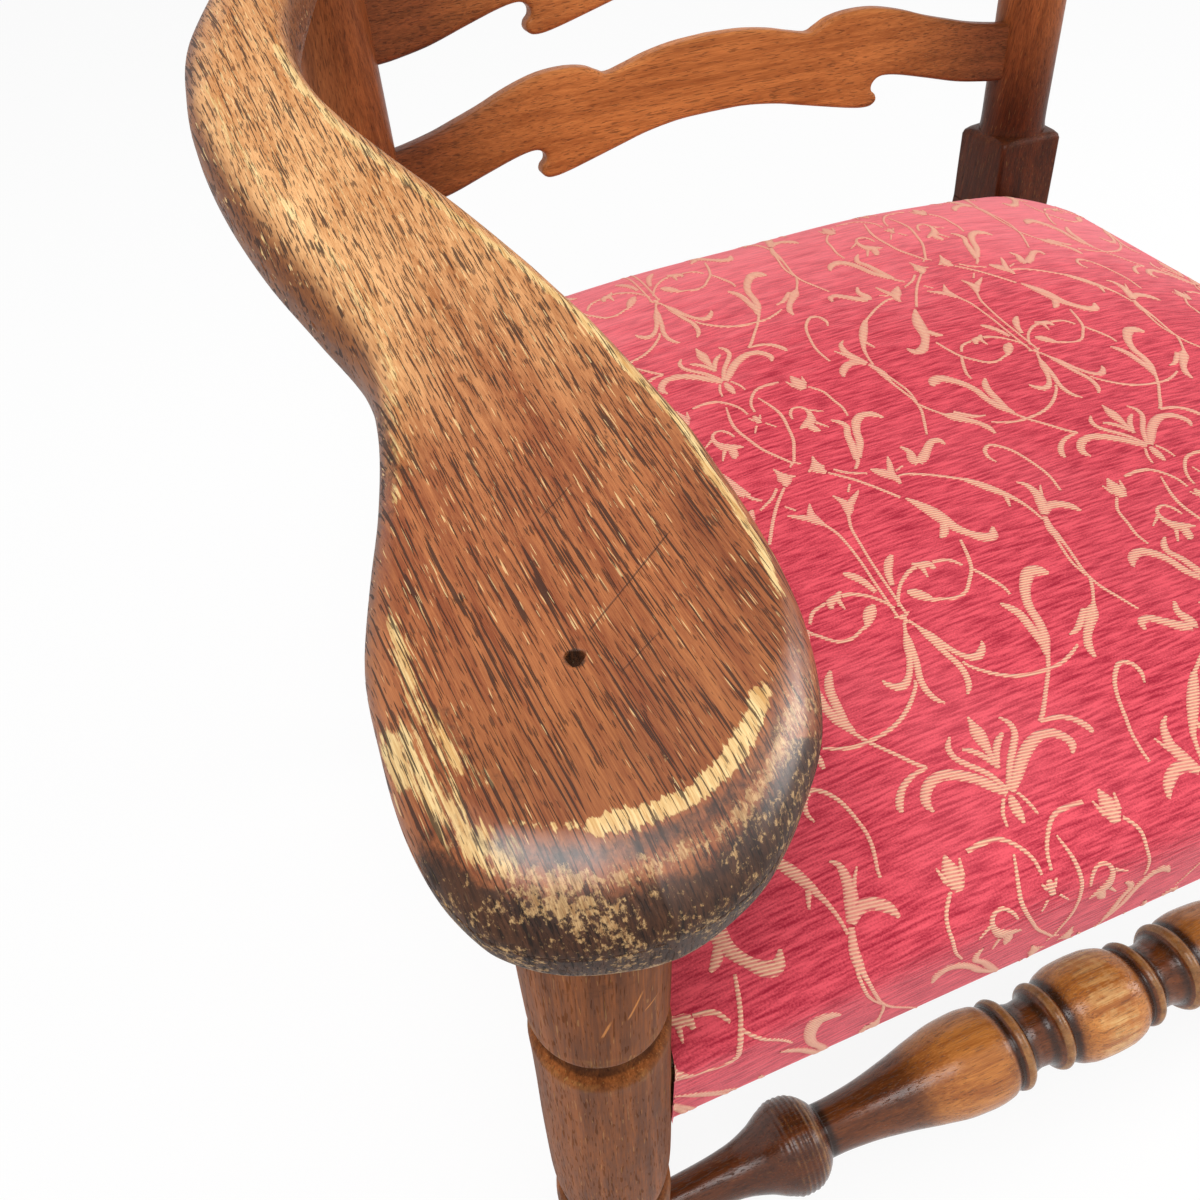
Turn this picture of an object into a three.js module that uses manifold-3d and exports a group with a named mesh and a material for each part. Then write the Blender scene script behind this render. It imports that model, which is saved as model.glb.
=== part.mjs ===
// Open armchair in turned oak with scrolled paddle arms, wavy ladder slats and a stuffed seat.
// Millimetres, +Z up, front towards -Y, standing on z = 0 with the middle of its box over the origin.
import * as THREE from 'three';
import { mergeVertices } from 'three/addons/utils/BufferGeometryUtils.js';
import Module from 'manifold-3d';

// Plan of the frame, taken between the axes of the turned members
const FRONT_LEG_SPACING = 540;
const BACK_POST_SPACING = 440;
const FRAME_DEPTH = 452;
const CLEARANCE = 0.3;

// Back posts: upright to the bend, then leaning back
const BACK_RAKE = THREE.MathUtils.degToRad(7.27);
const BEND_HEIGHT = 411;
const POST_RADIUS = 20.5;
const POST_FOOT_RADIUS = 16;
const POST_LENGTH_ABOVE_BEND = 545;
const FINIAL_HEIGHT = 72;
const FINIAL_RADIUS = 20;
const BLOCK_SIZE = 46.5;
const BLOCK_BOTTOM = 372;
const BLOCK_TOP = 49;
const BLOCK_CHAMFER = 2.5;

// Front legs, one turning from the floor to the arm
const LEG_RADIUS = 22.4;
const LEG_FOOT_RADIUS = 16;
const LEG_NECK_RADIUS = 20.4;
const LEG_UPPER_COVE = 487;
const LEG_LOWER_COVE = 320;
const LEG_FOOT_COVE = 120;
const LEG_TENON_RADIUS = 10;
const LEG_TENON_LENGTH = 20;

// Arms: a flat paddle over the leg, sweeping up, out and back in to the post
const ARM_UNDERSIDE = 557;
const ARM_FRONT_THICKNESS = 31;
const ARM_BACK_THICKNESS = 36;
const ARM_RISE = 73;
const ARM_RISE_START = 40;
const ARM_RISE_END = 470;
const ARM_TOP_EDGE = 11;
const ARM_BOTTOM_EDGE = 13;
const ARM_TENON_RADIUS = 8;
const ARM_TENON_STOP = 2.5;
const ARM_END_INSET = 3.6;
const NAIL_HOLE_RADIUS = 2;
const NAIL_HOLE_DEPTH = 7;
const NAIL_HOLE_X = -254.8;
const NAIL_HOLE_Y = 43.5;
// distance behind the leg axis, then inner and outer edge from the line between leg and post axes
const ARM_PLAN = [
  [-26, -20.9, -7.9],
  [-24.5, -28.7, 1.3],
  [-20.5, -38.3, 12.7],
  [-15, -45.7, 21.3],
  [-8, -52.9, 28.1],
  [6, -64.3, 35.2],
  [24, -71.3, 39.7],
  [45, -75, 41.5],
  [70, -75.3, 41.7],
  [95, -72.5, 36.5],
  [120, -67.7, 29.8],
  [150, -58.4, 24.6],
  [175, -49.1, 25.9],
  [205, -36.3, 37.7],
  [235, -21, 50],
  [265, -2.7, 59.3],
  [295, 14.1, 65.1],
  [320, 21.4, 65.9],
  [350, 20.7, 62.7],
  [385, 11.6, 48.6],
  [420, 1, 36],
  [450, -7.2, 26.8],
  [478, -14.1, 19.9],
];
// share of the full thickness at the rounded nose: underside lift, top drop
const ARM_NOSE = [
  [-26, 0.16, 0.46],
  [-24.5, 0.08, 0.38],
  [-20.5, 0.03, 0.28],
  [-15, 0, 0.18],
  [-8, 0, 0.09],
  [6, 0, 0.015],
];

// Seat: four rails under a stuffed pad with a close cover
const SEAT_BOTTOM = 384;
const SEAT_FRONT_OVERHANG = 10;
const SEAT_SIDE_OVERHANG = 4;
const SEAT_BACK = 427;
const SEAT_EDGE_HEIGHT = 65;
const SEAT_CROWN = 9;
const SEAT_SIDE_FALL = 21;
const SEAT_ROLL_HEIGHT = 22;
const SEAT_ROLL = 44;
const SEAT_CORNER = 50;
const COVER_THICKNESS = 4;
const COVER_LEG_GAP = 0.8;
const RAIL_LIFT = 2;
const BACK_RAIL_SETBACK = 18;
const RAIL_HEIGHT = 33;
const RAIL_THICKNESS = 24;
const RAIL_TENON_THICKNESS = 8;
const RAIL_TENON_SHOULDER = 2;
const RAIL_TENON_HEIGHT = 22;
const RAIL_TENON_STOP = 15;
const CORNER_BLOCK_LEG = 58;
const CORNER_BLOCK_HEIGHT = 25;
const STRAP_WIDTH = 50;
const STRAP_THICKNESS = 1;
const LONG_STRAP_PITCH = 98;
const CROSS_STRAP_PITCH = 105;

// Stretchers, turned, entering round sockets
const SOCKET_END_RADIUS = 9.5;
const SOCKET_STOP = 8;
const FRONT_STRETCHER_HEIGHT = 221;
const SIDE_STRETCHER_HEIGHT = 150;
const SIDE_STRETCHER_RADIUS = 14;
const BACK_STRETCHER_HEIGHT = 236;
const BACK_STRETCHER_RADIUS = 14;

// Ladder slats, bowed back between the posts
const SLAT_COUNT = 6;
const SLAT_PITCH = 77.6;
const SLAT_FIRST = 83.5;
const SLAT_THICKNESS = 12;
const SLAT_BOW = 17;
const SLAT_END_HEIGHT = 33.6;
const SLAT_TENON = 13;
// right half of the slat's edges: distance from the middle, height above the end's lower corner
const SLAT_LOWER_EDGE = [
  [0, 13.2],
  [22, 12.8],
  [44, 10],
  [62, 6],
  [78, 2.4],
  [95, -1.2],
  [105, -2.6],
  [111, -2],
  [114, 1],
  [113.2, 4.5],
  [110.6, 7],
  [110.4, 10.5],
  [113.5, 13.8],
  [119, 14.8],
  [130, 13.2],
  [149, 8.6],
  [170, 3.4],
  [188, 0.8],
];
const SLAT_UPPER_EDGE = [
  [178, 36.6],
  [162, 40.5],
  [146, 44.8],
  [132, 49.4],
  [118, 53],
  [106, 54.8],
  [92, 54.8],
  [80, 52.8],
  [72, 49.2],
  [66, 47],
  [54, 49.4],
  [40, 52.8],
  [22, 55.4],
];

const wasm = await Module();
wasm.setup();

// Solids and geometry
function solid(geometry) {
  const bare = geometry.clone();
  bare.deleteAttribute('normal');
  bare.deleteAttribute('uv');
  const merged = mergeVertices(bare, 1e-4);
  const mesh = new wasm.Mesh({
    numProp: 3,
    vertProperties: merged.attributes.position.array,
    triVerts: new Uint32Array(merged.index.array),
  });
  return new wasm.Manifold(mesh);
}

function geometryOf(body) {
  const mesh = body.getMesh();
  const geometry = new THREE.BufferGeometry();
  const position = new THREE.BufferAttribute(new Float32Array(mesh.vertProperties), 3);
  geometry.setAttribute('position', position);
  geometry.setIndex(new THREE.BufferAttribute(new Uint32Array(mesh.triVerts), 1));
  geometry.computeVertexNormals();
  return geometry;
}

// a turning about Z from [height, radius] pairs, its radii grown by the same amount all along
function turned(profile, sides, grow = 0) {
  const points = profile.map(([z, r]) => new THREE.Vector2(r + grow, z));
  points.unshift(new THREE.Vector2(0, profile[0][0]));
  points.push(new THREE.Vector2(0, profile.at(-1)[0]));
  return new THREE.LatheGeometry(points, sides).rotateX(Math.PI / 2);
}

function prism(points, bottom, top) {
  const shape = new THREE.Shape(points.map(([x, y]) => new THREE.Vector2(x, y)));
  const settings = { depth: top - bottom, bevelEnabled: false };
  return new THREE.ExtrudeGeometry(shape, settings).translate(0, 0, bottom);
}

// a round pin along Z, turned to lie along the given direction from a point
function pin(radius, from, direction, length, sides = 16) {
  const along = new THREE.Vector3(...direction).normalize();
  const turn = new THREE.Quaternion().setFromUnitVectors(new THREE.Vector3(0, 0, 1), along);
  const cylinder = turned([[0, radius], [length, radius]], sides);
  return cylinder.applyQuaternion(turn).translate(...from);
}

// a closed skin over rings of points, capped at both ends by fans
function loft(rings) {
  const count = rings[0].length;
  const points = rings.flat();
  const faces = [];
  for (let i = 0; i + 1 < rings.length; i += 1) {
    for (let j = 0; j < count; j += 1) {
      const a = i * count + j;
      const b = i * count + ((j + 1) % count);
      faces.push(a, b, b + count, a, b + count, a + count);
    }
  }
  for (const [ring, flip] of [[0, true], [rings.length - 1, false]]) {
    const middle = new THREE.Vector3();
    rings[ring].forEach((p) => middle.add(p));
    points.push(middle.divideScalar(count));
    const centre = points.length - 1;
    for (let j = 0; j < count; j += 1) {
      const a = ring * count + j;
      const b = ring * count + ((j + 1) % count);
      faces.push(centre, flip ? b : a, flip ? a : b);
    }
  }
  const geometry = new THREE.BufferGeometry().setFromPoints(points);
  geometry.setIndex(faces);
  return geometry;
}

// Frame lines: the left side runs from the front leg's axis back to the post's axis
const LEFT_LEG = new THREE.Vector2(-FRONT_LEG_SPACING / 2, 0);
const LEFT_POST = new THREE.Vector2(-BACK_POST_SPACING / 2, FRAME_DEPTH);
const SIDE_LENGTH = LEFT_LEG.distanceTo(LEFT_POST);
const SIDE_ALONG = LEFT_POST.clone().sub(LEFT_LEG).normalize();
const SIDE_OUT = new THREE.Vector2(-SIDE_ALONG.y, SIDE_ALONG.x);

function sidePoint(along, out) {
  const p = LEFT_LEG.clone().addScaledVector(SIDE_ALONG, along).addScaledVector(SIDE_OUT, out);
  return [p.x, p.y];
}

function sideStrip(from, to, inner, outer) {
  return [
    sidePoint(from, inner),
    sidePoint(to, inner),
    sidePoint(to, outer),
    sidePoint(from, outer),
  ];
}

const backFrame = new THREE.Matrix4()
  .makeTranslation(0, FRAME_DEPTH, BEND_HEIGHT)
  .multiply(new THREE.Matrix4().makeRotationX(-BACK_RAKE));

function postAxisY(z) {
  return FRAME_DEPTH + Math.max(z - BEND_HEIGHT, 0) * Math.tan(BACK_RAKE);
}

const oak = { color: 0x7a4a26, roughness: 0.45, metalness: 0 };
const darkOak = { color: 0x4e2b18, roughness: 0.4, metalness: 0 };
const wornOak = { color: 0x8a5a30, roughness: 0.5, metalness: 0 };
const beech = { color: 0xb08a5c, roughness: 0.7, metalness: 0 };
const chenille = { color: 0xbf4456, roughness: 0.95, metalness: 0 };
const hair = { color: 0x6d5a45, roughness: 1, metalness: 0 };
const jute = { color: 0xa98a5a, roughness: 0.95, metalness: 0 };

const chair = new THREE.Group();

function place(name, geometry, look, parent = chair) {
  const mesh = new THREE.Mesh(geometry, new THREE.MeshStandardMaterial(look));
  mesh.name = name;
  parent.add(mesh);
  return mesh;
}

// the same piece on both sides, the right one mirrored across the middle of the chair
function placePair(name, body, look) {
  place(`${name}_left`, geometryOf(body), look);
  const right = new THREE.Group();
  right.scale.x = -1;
  chair.add(right);
  place(`${name}_right`, geometryOf(body), look, right);
}

// Front leg: foot, plain lower part, baluster through the seat, vase under the arm
const LEG_PROFILE = [
  [0, LEG_FOOT_RADIUS - 2],
  [4, LEG_FOOT_RADIUS],
  [LEG_FOOT_COVE - 40, LEG_RADIUS - 1],
  [LEG_FOOT_COVE - 10, LEG_RADIUS - 2.4],
  [LEG_FOOT_COVE, LEG_RADIUS - 5.4],
  [LEG_FOOT_COVE + 8, LEG_RADIUS - 1],
  [LEG_FOOT_COVE + 16, LEG_RADIUS + 1],
  [LEG_LOWER_COVE - 20, LEG_RADIUS + 1.4],
  [LEG_LOWER_COVE - 8, LEG_RADIUS + 0.4],
  [LEG_LOWER_COVE, LEG_RADIUS - 2.6],
  [LEG_LOWER_COVE + 6, LEG_RADIUS - 0.9],
  [LEG_LOWER_COVE + 34, LEG_RADIUS + 0.4],
  [LEG_LOWER_COVE + 80, LEG_RADIUS],
  [LEG_UPPER_COVE - 35, LEG_RADIUS - 1],
  [LEG_UPPER_COVE - 14, LEG_NECK_RADIUS + 0.6],
  [LEG_UPPER_COVE - 9, LEG_NECK_RADIUS],
  [LEG_UPPER_COVE - 3, LEG_NECK_RADIUS - 1.7],
  [LEG_UPPER_COVE + 1, LEG_NECK_RADIUS - 2.3],
  [LEG_UPPER_COVE + 5, LEG_NECK_RADIUS - 1.6],
  [LEG_UPPER_COVE + 7.5, LEG_NECK_RADIUS - 0.3],
  [LEG_UPPER_COVE + 24, LEG_NECK_RADIUS + 0.2],
  [ARM_UNDERSIDE - CLEARANCE, LEG_NECK_RADIUS],
];
const LEG_SIDES = 20;

function legBody(grow) {
  return solid(turned(LEG_PROFILE, LEG_SIDES, grow).translate(LEFT_LEG.x, LEFT_LEG.y, 0));
}

const RAIL_BOTTOM = SEAT_BOTTOM + RAIL_LIFT;
const RAIL_TOP = RAIL_BOTTOM + RAIL_HEIGHT;
const TENON_BOTTOM = (RAIL_BOTTOM + RAIL_TOP - RAIL_TENON_HEIGHT) / 2;
const TENON_TOP = TENON_BOTTOM + RAIL_TENON_HEIGHT;
const SIDE_RAIL_OUT = SEAT_SIDE_OVERHANG - COVER_THICKNESS - CLEARANCE;
const SIDE_RAIL_MIDDLE = SIDE_RAIL_OUT - RAIL_THICKNESS / 2;
const SIDE_TENON_MIDDLE = SIDE_RAIL_OUT - RAIL_TENON_SHOULDER - RAIL_TENON_THICKNESS / 2;
const FRONT_RAIL_FACE = COVER_THICKNESS + CLEARANCE - SEAT_FRONT_OVERHANG;
const FRONT_RAIL_MIDDLE = FRONT_RAIL_FACE + RAIL_THICKNESS / 2;
const BACK_RAIL_FACE = SEAT_BACK - COVER_THICKNESS - CLEARANCE - BACK_RAIL_SETBACK;

// tenons of the rails, and the mortises that take them with the clearance added all round
function sideTenon(end, gap) {
  const half = RAIL_TENON_THICKNESS / 2 + gap;
  const stop = RAIL_TENON_STOP - gap;
  const range = end === 'front' ? [stop, 40] : [SIDE_LENGTH - 40, SIDE_LENGTH - stop];
  const strip = sideStrip(...range, SIDE_TENON_MIDDLE - half, SIDE_TENON_MIDDLE + half);
  return solid(prism(strip.reverse(), TENON_BOTTOM - gap, TENON_TOP + gap));
}

function frontTenon(gap) {
  const half = RAIL_TENON_THICKNESS / 2 + gap;
  const from = LEFT_LEG.x + RAIL_TENON_STOP - gap;
  const to = LEFT_LEG.x + 40;
  const y = FRONT_RAIL_MIDDLE;
  const strip = [[from, y - half], [to, y - half], [to, y + half], [from, y + half]];
  return solid(prism(strip, TENON_BOTTOM - gap, TENON_TOP + gap));
}

function sideSocket(end) {
  const radius = SOCKET_END_RADIUS + CLEARANCE;
  const start = SOCKET_STOP - CLEARANCE;
  const along = end === 'front' ? start : SIDE_LENGTH - start;
  const sign = end === 'front' ? 1 : -1;
  const [x, y] = sidePoint(along, 0);
  const direction = [sign * SIDE_ALONG.x, sign * SIDE_ALONG.y, 0];
  return solid(pin(radius, [x, y, SIDE_STRETCHER_HEIGHT], direction, 60));
}

const frontSocket = solid(pin(
  SOCKET_END_RADIUS + CLEARANCE,
  [LEFT_LEG.x + SOCKET_STOP - CLEARANCE, 0, FRONT_STRETCHER_HEIGHT],
  [1, 0, 0],
  60,
));
const legTenon = solid(pin(
  LEG_TENON_RADIUS,
  [LEFT_LEG.x, LEFT_LEG.y, ARM_UNDERSIDE - 6],
  [0, 0, 1],
  LEG_TENON_LENGTH + 6,
));
const leg = legBody(0)
  .add(legTenon)
  .subtract(frontTenon(CLEARANCE))
  .subtract(sideTenon('front', CLEARANCE))
  .subtract(sideSocket('front'))
  .subtract(frontSocket);
placePair('front_leg', leg, oak);

// Back post: round lower leg, square block at the seat, round raked shaft and turned finial
const FINIAL_BASE = POST_LENGTH_ABOVE_BEND;
const POST_UPPER = [
  [20, POST_RADIUS],
  [FINIAL_BASE - 14, POST_RADIUS],
  [FINIAL_BASE - 6, POST_RADIUS - 1.5],
  [FINIAL_BASE, POST_RADIUS - 6],
  [FINIAL_BASE + FINIAL_HEIGHT * 0.08, POST_RADIUS - 3],
  [FINIAL_BASE + FINIAL_HEIGHT * 0.14, POST_RADIUS - 2.6],
  [FINIAL_BASE + FINIAL_HEIGHT * 0.22, FINIAL_RADIUS * 0.55],
  [FINIAL_BASE + FINIAL_HEIGHT * 0.32, FINIAL_RADIUS * 0.6],
  [FINIAL_BASE + FINIAL_HEIGHT * 0.46, FINIAL_RADIUS * 0.92],
  [FINIAL_BASE + FINIAL_HEIGHT * 0.6, FINIAL_RADIUS],
  [FINIAL_BASE + FINIAL_HEIGHT * 0.76, FINIAL_RADIUS * 0.85],
  [FINIAL_BASE + FINIAL_HEIGHT * 0.9, FINIAL_RADIUS * 0.5],
  [FINIAL_BASE + FINIAL_HEIGHT, FINIAL_RADIUS * 0.16],
];
const POST_LOWER = [
  [0, POST_FOOT_RADIUS - 2],
  [4, POST_FOOT_RADIUS],
  [80, POST_RADIUS - 1],
  [160, POST_RADIUS],
  [BLOCK_BOTTOM + 10, POST_RADIUS],
];

function postUpper(grow) {
  return solid(turned(POST_UPPER, LEG_SIDES, grow).translate(LEFT_POST.x, 0, 0).applyMatrix4(backFrame));
}

function square(half, z, frame) {
  const corners = [[-1, -1], [1, -1], [1, 1], [-1, 1]];
  return corners.map(([i, j]) => {
    const p = new THREE.Vector3(LEFT_POST.x + i * half, j * half, z);
    return frame ? p.applyMatrix4(backFrame) : p.add(new THREE.Vector3(0, FRAME_DEPTH, 0));
  });
}

function postBlock() {
  const half = BLOCK_SIZE / 2;
  return solid(loft([
    square(half - BLOCK_CHAMFER, BLOCK_BOTTOM, false),
    square(half, BLOCK_BOTTOM + BLOCK_CHAMFER, false),
    square(half, BEND_HEIGHT - 3, false),
    square(half, 3, true),
    square(half, BLOCK_TOP - BLOCK_CHAMFER, true),
    square(half - BLOCK_CHAMFER, BLOCK_TOP, true),
  ]));
}

const postLower = solid(turned(POST_LOWER, LEG_SIDES).translate(LEFT_POST.x, LEFT_POST.y, 0));
let post = postLower.add(postBlock()).add(postUpper(0));

// slots for the slats, open towards the middle of the chair
const SLAT_SHOULDER = BACK_POST_SPACING / 2 - POST_RADIUS;
const SLAT_END = SLAT_SHOULDER + SLAT_TENON;
for (let i = 0; i < SLAT_COUNT; i += 1) {
  const base = SLAT_FIRST + i * SLAT_PITCH;
  const half = SLAT_THICKNESS / 2 + CLEARANCE;
  const from = -SLAT_END - CLEARANCE;
  const to = -SLAT_SHOULDER + 10;
  const strip = [[from, -half], [to, -half], [to, half], [from, half]];
  const slot = prism(strip, base - CLEARANCE, base + SLAT_END_HEIGHT + CLEARANCE);
  post = post.subtract(solid(slot.applyMatrix4(backFrame)));
}

// socket for the arm's round tenon
const ARM_END_TOP = ARM_UNDERSIDE + ARM_FRONT_THICKNESS + ARM_RISE;
const ARM_TENON_HEIGHT = ARM_END_TOP - ARM_BACK_THICKNESS / 2;
const ARM_TENON_START = postAxisY(ARM_TENON_HEIGHT) - POST_RADIUS;
// the tenon stops short of the slots for the slats
const ARM_TENON_DEPTH = POST_RADIUS - SLAT_THICKNESS / 2 - ARM_TENON_STOP;

function armTenon(gap) {
  const start = ARM_TENON_START - ARM_TENON_RADIUS;
  const end = ARM_TENON_START + ARM_TENON_DEPTH + gap;
  const from = [LEFT_POST.x, start, ARM_TENON_HEIGHT];
  return solid(pin(ARM_TENON_RADIUS + gap, from, [0, 1, 0], end - start));
}

const backSocket = solid(pin(
  SOCKET_END_RADIUS + CLEARANCE,
  [LEFT_POST.x + SOCKET_STOP - CLEARANCE, FRAME_DEPTH, BACK_STRETCHER_HEIGHT],
  [1, 0, 0],
  60,
));
post = post
  .subtract(armTenon(CLEARANCE))
  .subtract(sideTenon('back', CLEARANCE))
  .subtract(sideSocket('back'))
  .subtract(backSocket);
placePair('back_post', post, darkOak);

// Seat rails: front and sides tenoned into the legs and posts, the back one between the sides
const legGrown = legBody(CLEARANCE);
const mirror = new THREE.Matrix4().makeScale(-1, 1, 1).elements;
const frontRailStrip = [
  [LEFT_LEG.x, FRONT_RAIL_FACE],
  [-LEFT_LEG.x, FRONT_RAIL_FACE],
  [-LEFT_LEG.x, FRONT_RAIL_FACE + RAIL_THICKNESS],
  [LEFT_LEG.x, FRONT_RAIL_FACE + RAIL_THICKNESS],
];
const frontRail = solid(prism(frontRailStrip, RAIL_BOTTOM, RAIL_TOP))
  .subtract(legGrown)
  .subtract(legGrown.transform(mirror))
  .add(frontTenon(0))
  .add(frontTenon(0).transform(mirror));
place('seat_rail_front', geometryOf(frontRail), beech);

const SIDE_RAIL_IN = SIDE_RAIL_OUT - RAIL_THICKNESS;

function sideRailBlank(gap) {
  const strip = sideStrip(0, SIDE_LENGTH, SIDE_RAIL_IN - gap, SIDE_RAIL_OUT + gap);
  return solid(prism(strip.reverse(), RAIL_BOTTOM - gap, RAIL_TOP + gap));
}

const frontRailGrown = solid(prism(
  [
    [LEFT_LEG.x, FRONT_RAIL_FACE - CLEARANCE],
    [-LEFT_LEG.x, FRONT_RAIL_FACE - CLEARANCE],
    [-LEFT_LEG.x, FRONT_RAIL_FACE + RAIL_THICKNESS + CLEARANCE],
    [LEFT_LEG.x, FRONT_RAIL_FACE + RAIL_THICKNESS + CLEARANCE],
  ],
  RAIL_BOTTOM - CLEARANCE,
  RAIL_TOP + CLEARANCE,
));
const blockFace = FRAME_DEPTH - BLOCK_SIZE / 2 - CLEARANCE;
const behindBlockFace = solid(prism(
  [
    [-FRONT_LEG_SPACING, blockFace],
    [0, blockFace],
    [0, blockFace + FRAME_DEPTH],
    [-FRONT_LEG_SPACING, blockFace + FRAME_DEPTH],
  ],
  RAIL_BOTTOM - RAIL_HEIGHT,
  RAIL_TOP + RAIL_HEIGHT,
));
const sideRail = sideRailBlank(0)
  .subtract(frontRailGrown)
  .subtract(legGrown)
  .subtract(behindBlockFace)
  .add(sideTenon('front', 0))
  .add(sideTenon('back', 0));
placePair('seat_rail', sideRail, beech);

const backRailStrip = [
  [LEFT_LEG.x, BACK_RAIL_FACE - RAIL_THICKNESS],
  [-LEFT_LEG.x, BACK_RAIL_FACE - RAIL_THICKNESS],
  [-LEFT_LEG.x, BACK_RAIL_FACE],
  [LEFT_LEG.x, BACK_RAIL_FACE],
];
const sideCut = solid(prism(
  sideStrip(0, SIDE_LENGTH, SIDE_RAIL_IN - CLEARANCE, 200).reverse(),
  RAIL_BOTTOM - 5,
  RAIL_TOP + 5,
));
const backRail = solid(prism(backRailStrip, RAIL_BOTTOM, RAIL_TOP))
  .subtract(sideCut)
  .subtract(sideCut.transform(mirror));
place('seat_rail_back', geometryOf(backRail), beech);

// Corner blocks glued into the angles of the rails
const BLOCK_LOW = (RAIL_BOTTOM + RAIL_TOP - CORNER_BLOCK_HEIGHT) / 2;
const BLOCK_HIGH = BLOCK_LOW + CORNER_BLOCK_HEIGHT;

function cornerBlock(end) {
  const front = FRONT_RAIL_FACE + RAIL_THICKNESS + CLEARANCE;
  const back = BACK_RAIL_FACE - RAIL_THICKNESS - CLEARANCE;
  const y = end === 'front' ? front : back;
  const step = end === 'front' ? 1 : -1;
  const inner = SIDE_RAIL_IN - CLEARANCE;
  const alongFor = (level) => (level - inner * SIDE_OUT.y) / SIDE_ALONG.y;
  const corner = sidePoint(alongFor(y), inner);
  const far = sidePoint(alongFor(y + step * CORNER_BLOCK_LEG), inner);
  const near = sidePoint(alongFor(y + step * 8), inner);
  const outline = [[corner[0] + 8, y], [corner[0] + CORNER_BLOCK_LEG, y], far, near];
  return solid(prism(end === 'front' ? outline : outline.reverse(), BLOCK_LOW, BLOCK_HIGH));
}

placePair('corner_block_front', cornerBlock('front'), beech);
placePair('corner_block_back', cornerBlock('back'), beech);

// Webbing: four straps front to back, three across them
for (let i = 0; i < 4; i += 1) {
  const length = BACK_RAIL_FACE - FRONT_RAIL_FACE - RAIL_THICKNESS * 0.6;
  const strap = new THREE.BoxGeometry(STRAP_WIDTH, length, STRAP_THICKNESS);
  const mesh = place(`webbing_long_${i + 1}`, strap, jute);
  const y = (BACK_RAIL_FACE + FRONT_RAIL_FACE) / 2;
  mesh.position.set((i - 1.5) * LONG_STRAP_PITCH, y, RAIL_TOP + CLEARANCE + STRAP_THICKNESS / 2);
}
for (let i = 0; i < 3; i += 1) {
  const y = (BACK_RAIL_FACE + FRONT_RAIL_FACE) / 2 + (i - 1) * CROSS_STRAP_PITCH;
  const [x] = sidePoint((y + STRAP_WIDTH / 2) / SIDE_ALONG.y, SIDE_RAIL_MIDDLE);
  const strap = new THREE.BoxGeometry(-2 * x, STRAP_WIDTH, STRAP_THICKNESS);
  const mesh = place(`webbing_cross_${i + 1}`, strap, jute);
  mesh.position.set(0, y, RAIL_TOP + 2 * CLEARANCE + STRAP_THICKNESS * 1.5);
}

// Seat pad: the frame's plan set in by a distance, with round corners, lifted towards the middle
function seatRing(inset, z, lift = 0) {
  const front = -SEAT_FRONT_OVERHANG + inset;
  const back = SEAT_BACK - inset;
  const out = SEAT_SIDE_OVERHANG - inset;
  const halfAt = (y) => -sidePoint((y - out * SIDE_OUT.y) / SIDE_ALONG.y, out)[0];
  const corners = [
    [halfAt(front), front, 1, 1, 6],
    [halfAt(back), back, 1, -1, SEAT_CORNER],
    [-halfAt(back), back, -1, -1, SEAT_CORNER],
    [-halfAt(front), front, -1, 1, 6],
  ];
  const starts = [-90, 0, 90, 180];
  const ring = [];
  corners.forEach(([x, y, sx, sy, size], n) => {
    const radius = Math.max(size - inset * 0.5, 4);
    for (let k = 0; k <= 4; k += 1) {
      const angle = THREE.MathUtils.degToRad(starts[n] + k * 22.5);
      const px = x - sx * radius + radius * Math.cos(angle);
      const py = y + sy * radius + radius * Math.sin(angle);
      ring.push(new THREE.Vector3(px, py, z));
    }
  });
  const dense = [];
  ring.forEach((p, n) => {
    const next = ring[(n + 1) % ring.length];
    dense.push(p);
    if (n % 5 === 4) {
      for (let k = 1; k < 5; k += 1) dense.push(p.clone().lerp(next, k / 5));
    }
  });
  const middle = (SEAT_BACK - SEAT_FRONT_OVERHANG) / 2;
  for (const p of dense) {
    const u = Math.abs(p.x) / (halfAt(p.y) + inset);
    const v = (p.y - middle) / (SEAT_BACK - middle);
    const crown = SEAT_CROWN * (1 - u * u) * (1 - 0.45 * v * v);
    p.z += lift * (SEAT_ROLL_HEIGHT + crown - SEAT_SIDE_FALL * u ** 3.5);
  }
  return dense;
}

const SEAT_WALL_TOP = SEAT_BOTTOM + SEAT_EDGE_HEIGHT - SEAT_ROLL_HEIGHT;
// the rolled edge: shares of its width and of its height
const ROLL = [[0, 0], [0.035, 0.3], [0.115, 0.55], [0.25, 0.75], [0.45, 0.89], [0.72, 0.97], [1, 1]];
const DOME = [75, 110, 148, 190];

function seatBody(shrink, bottom) {
  const top = SEAT_WALL_TOP - shrink;
  const rings = bottom.map(([inset, z]) => seatRing(inset + shrink, z));
  for (const [across, up] of ROLL) {
    if (top + up * SEAT_ROLL_HEIGHT > bottom.at(-1)[1] + 1) {
      rings.push(seatRing(across * SEAT_ROLL + shrink, top, up));
    }
  }
  for (const inset of DOME) rings.push(seatRing(inset + shrink, top, 1));
  return solid(loft(rings));
}

const coverLegGap = legBody(COVER_LEG_GAP);
const coverOuter = seatBody(0, [[1.2, SEAT_BOTTOM], [0, SEAT_BOTTOM + 5]]);
const coverHollow = seatBody(COVER_THICKNESS, [[0, SEAT_BOTTOM - 5], [0, SEAT_BOTTOM + 5]]);
const railGap = sideRailBlank(CLEARANCE);
const cover = coverOuter
  .subtract(coverHollow)
  .subtract(coverLegGap)
  .subtract(coverLegGap.transform(mirror))
  .subtract(railGap)
  .subtract(railGap.transform(mirror));
place('seat_cover', geometryOf(cover), chenille);

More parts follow.
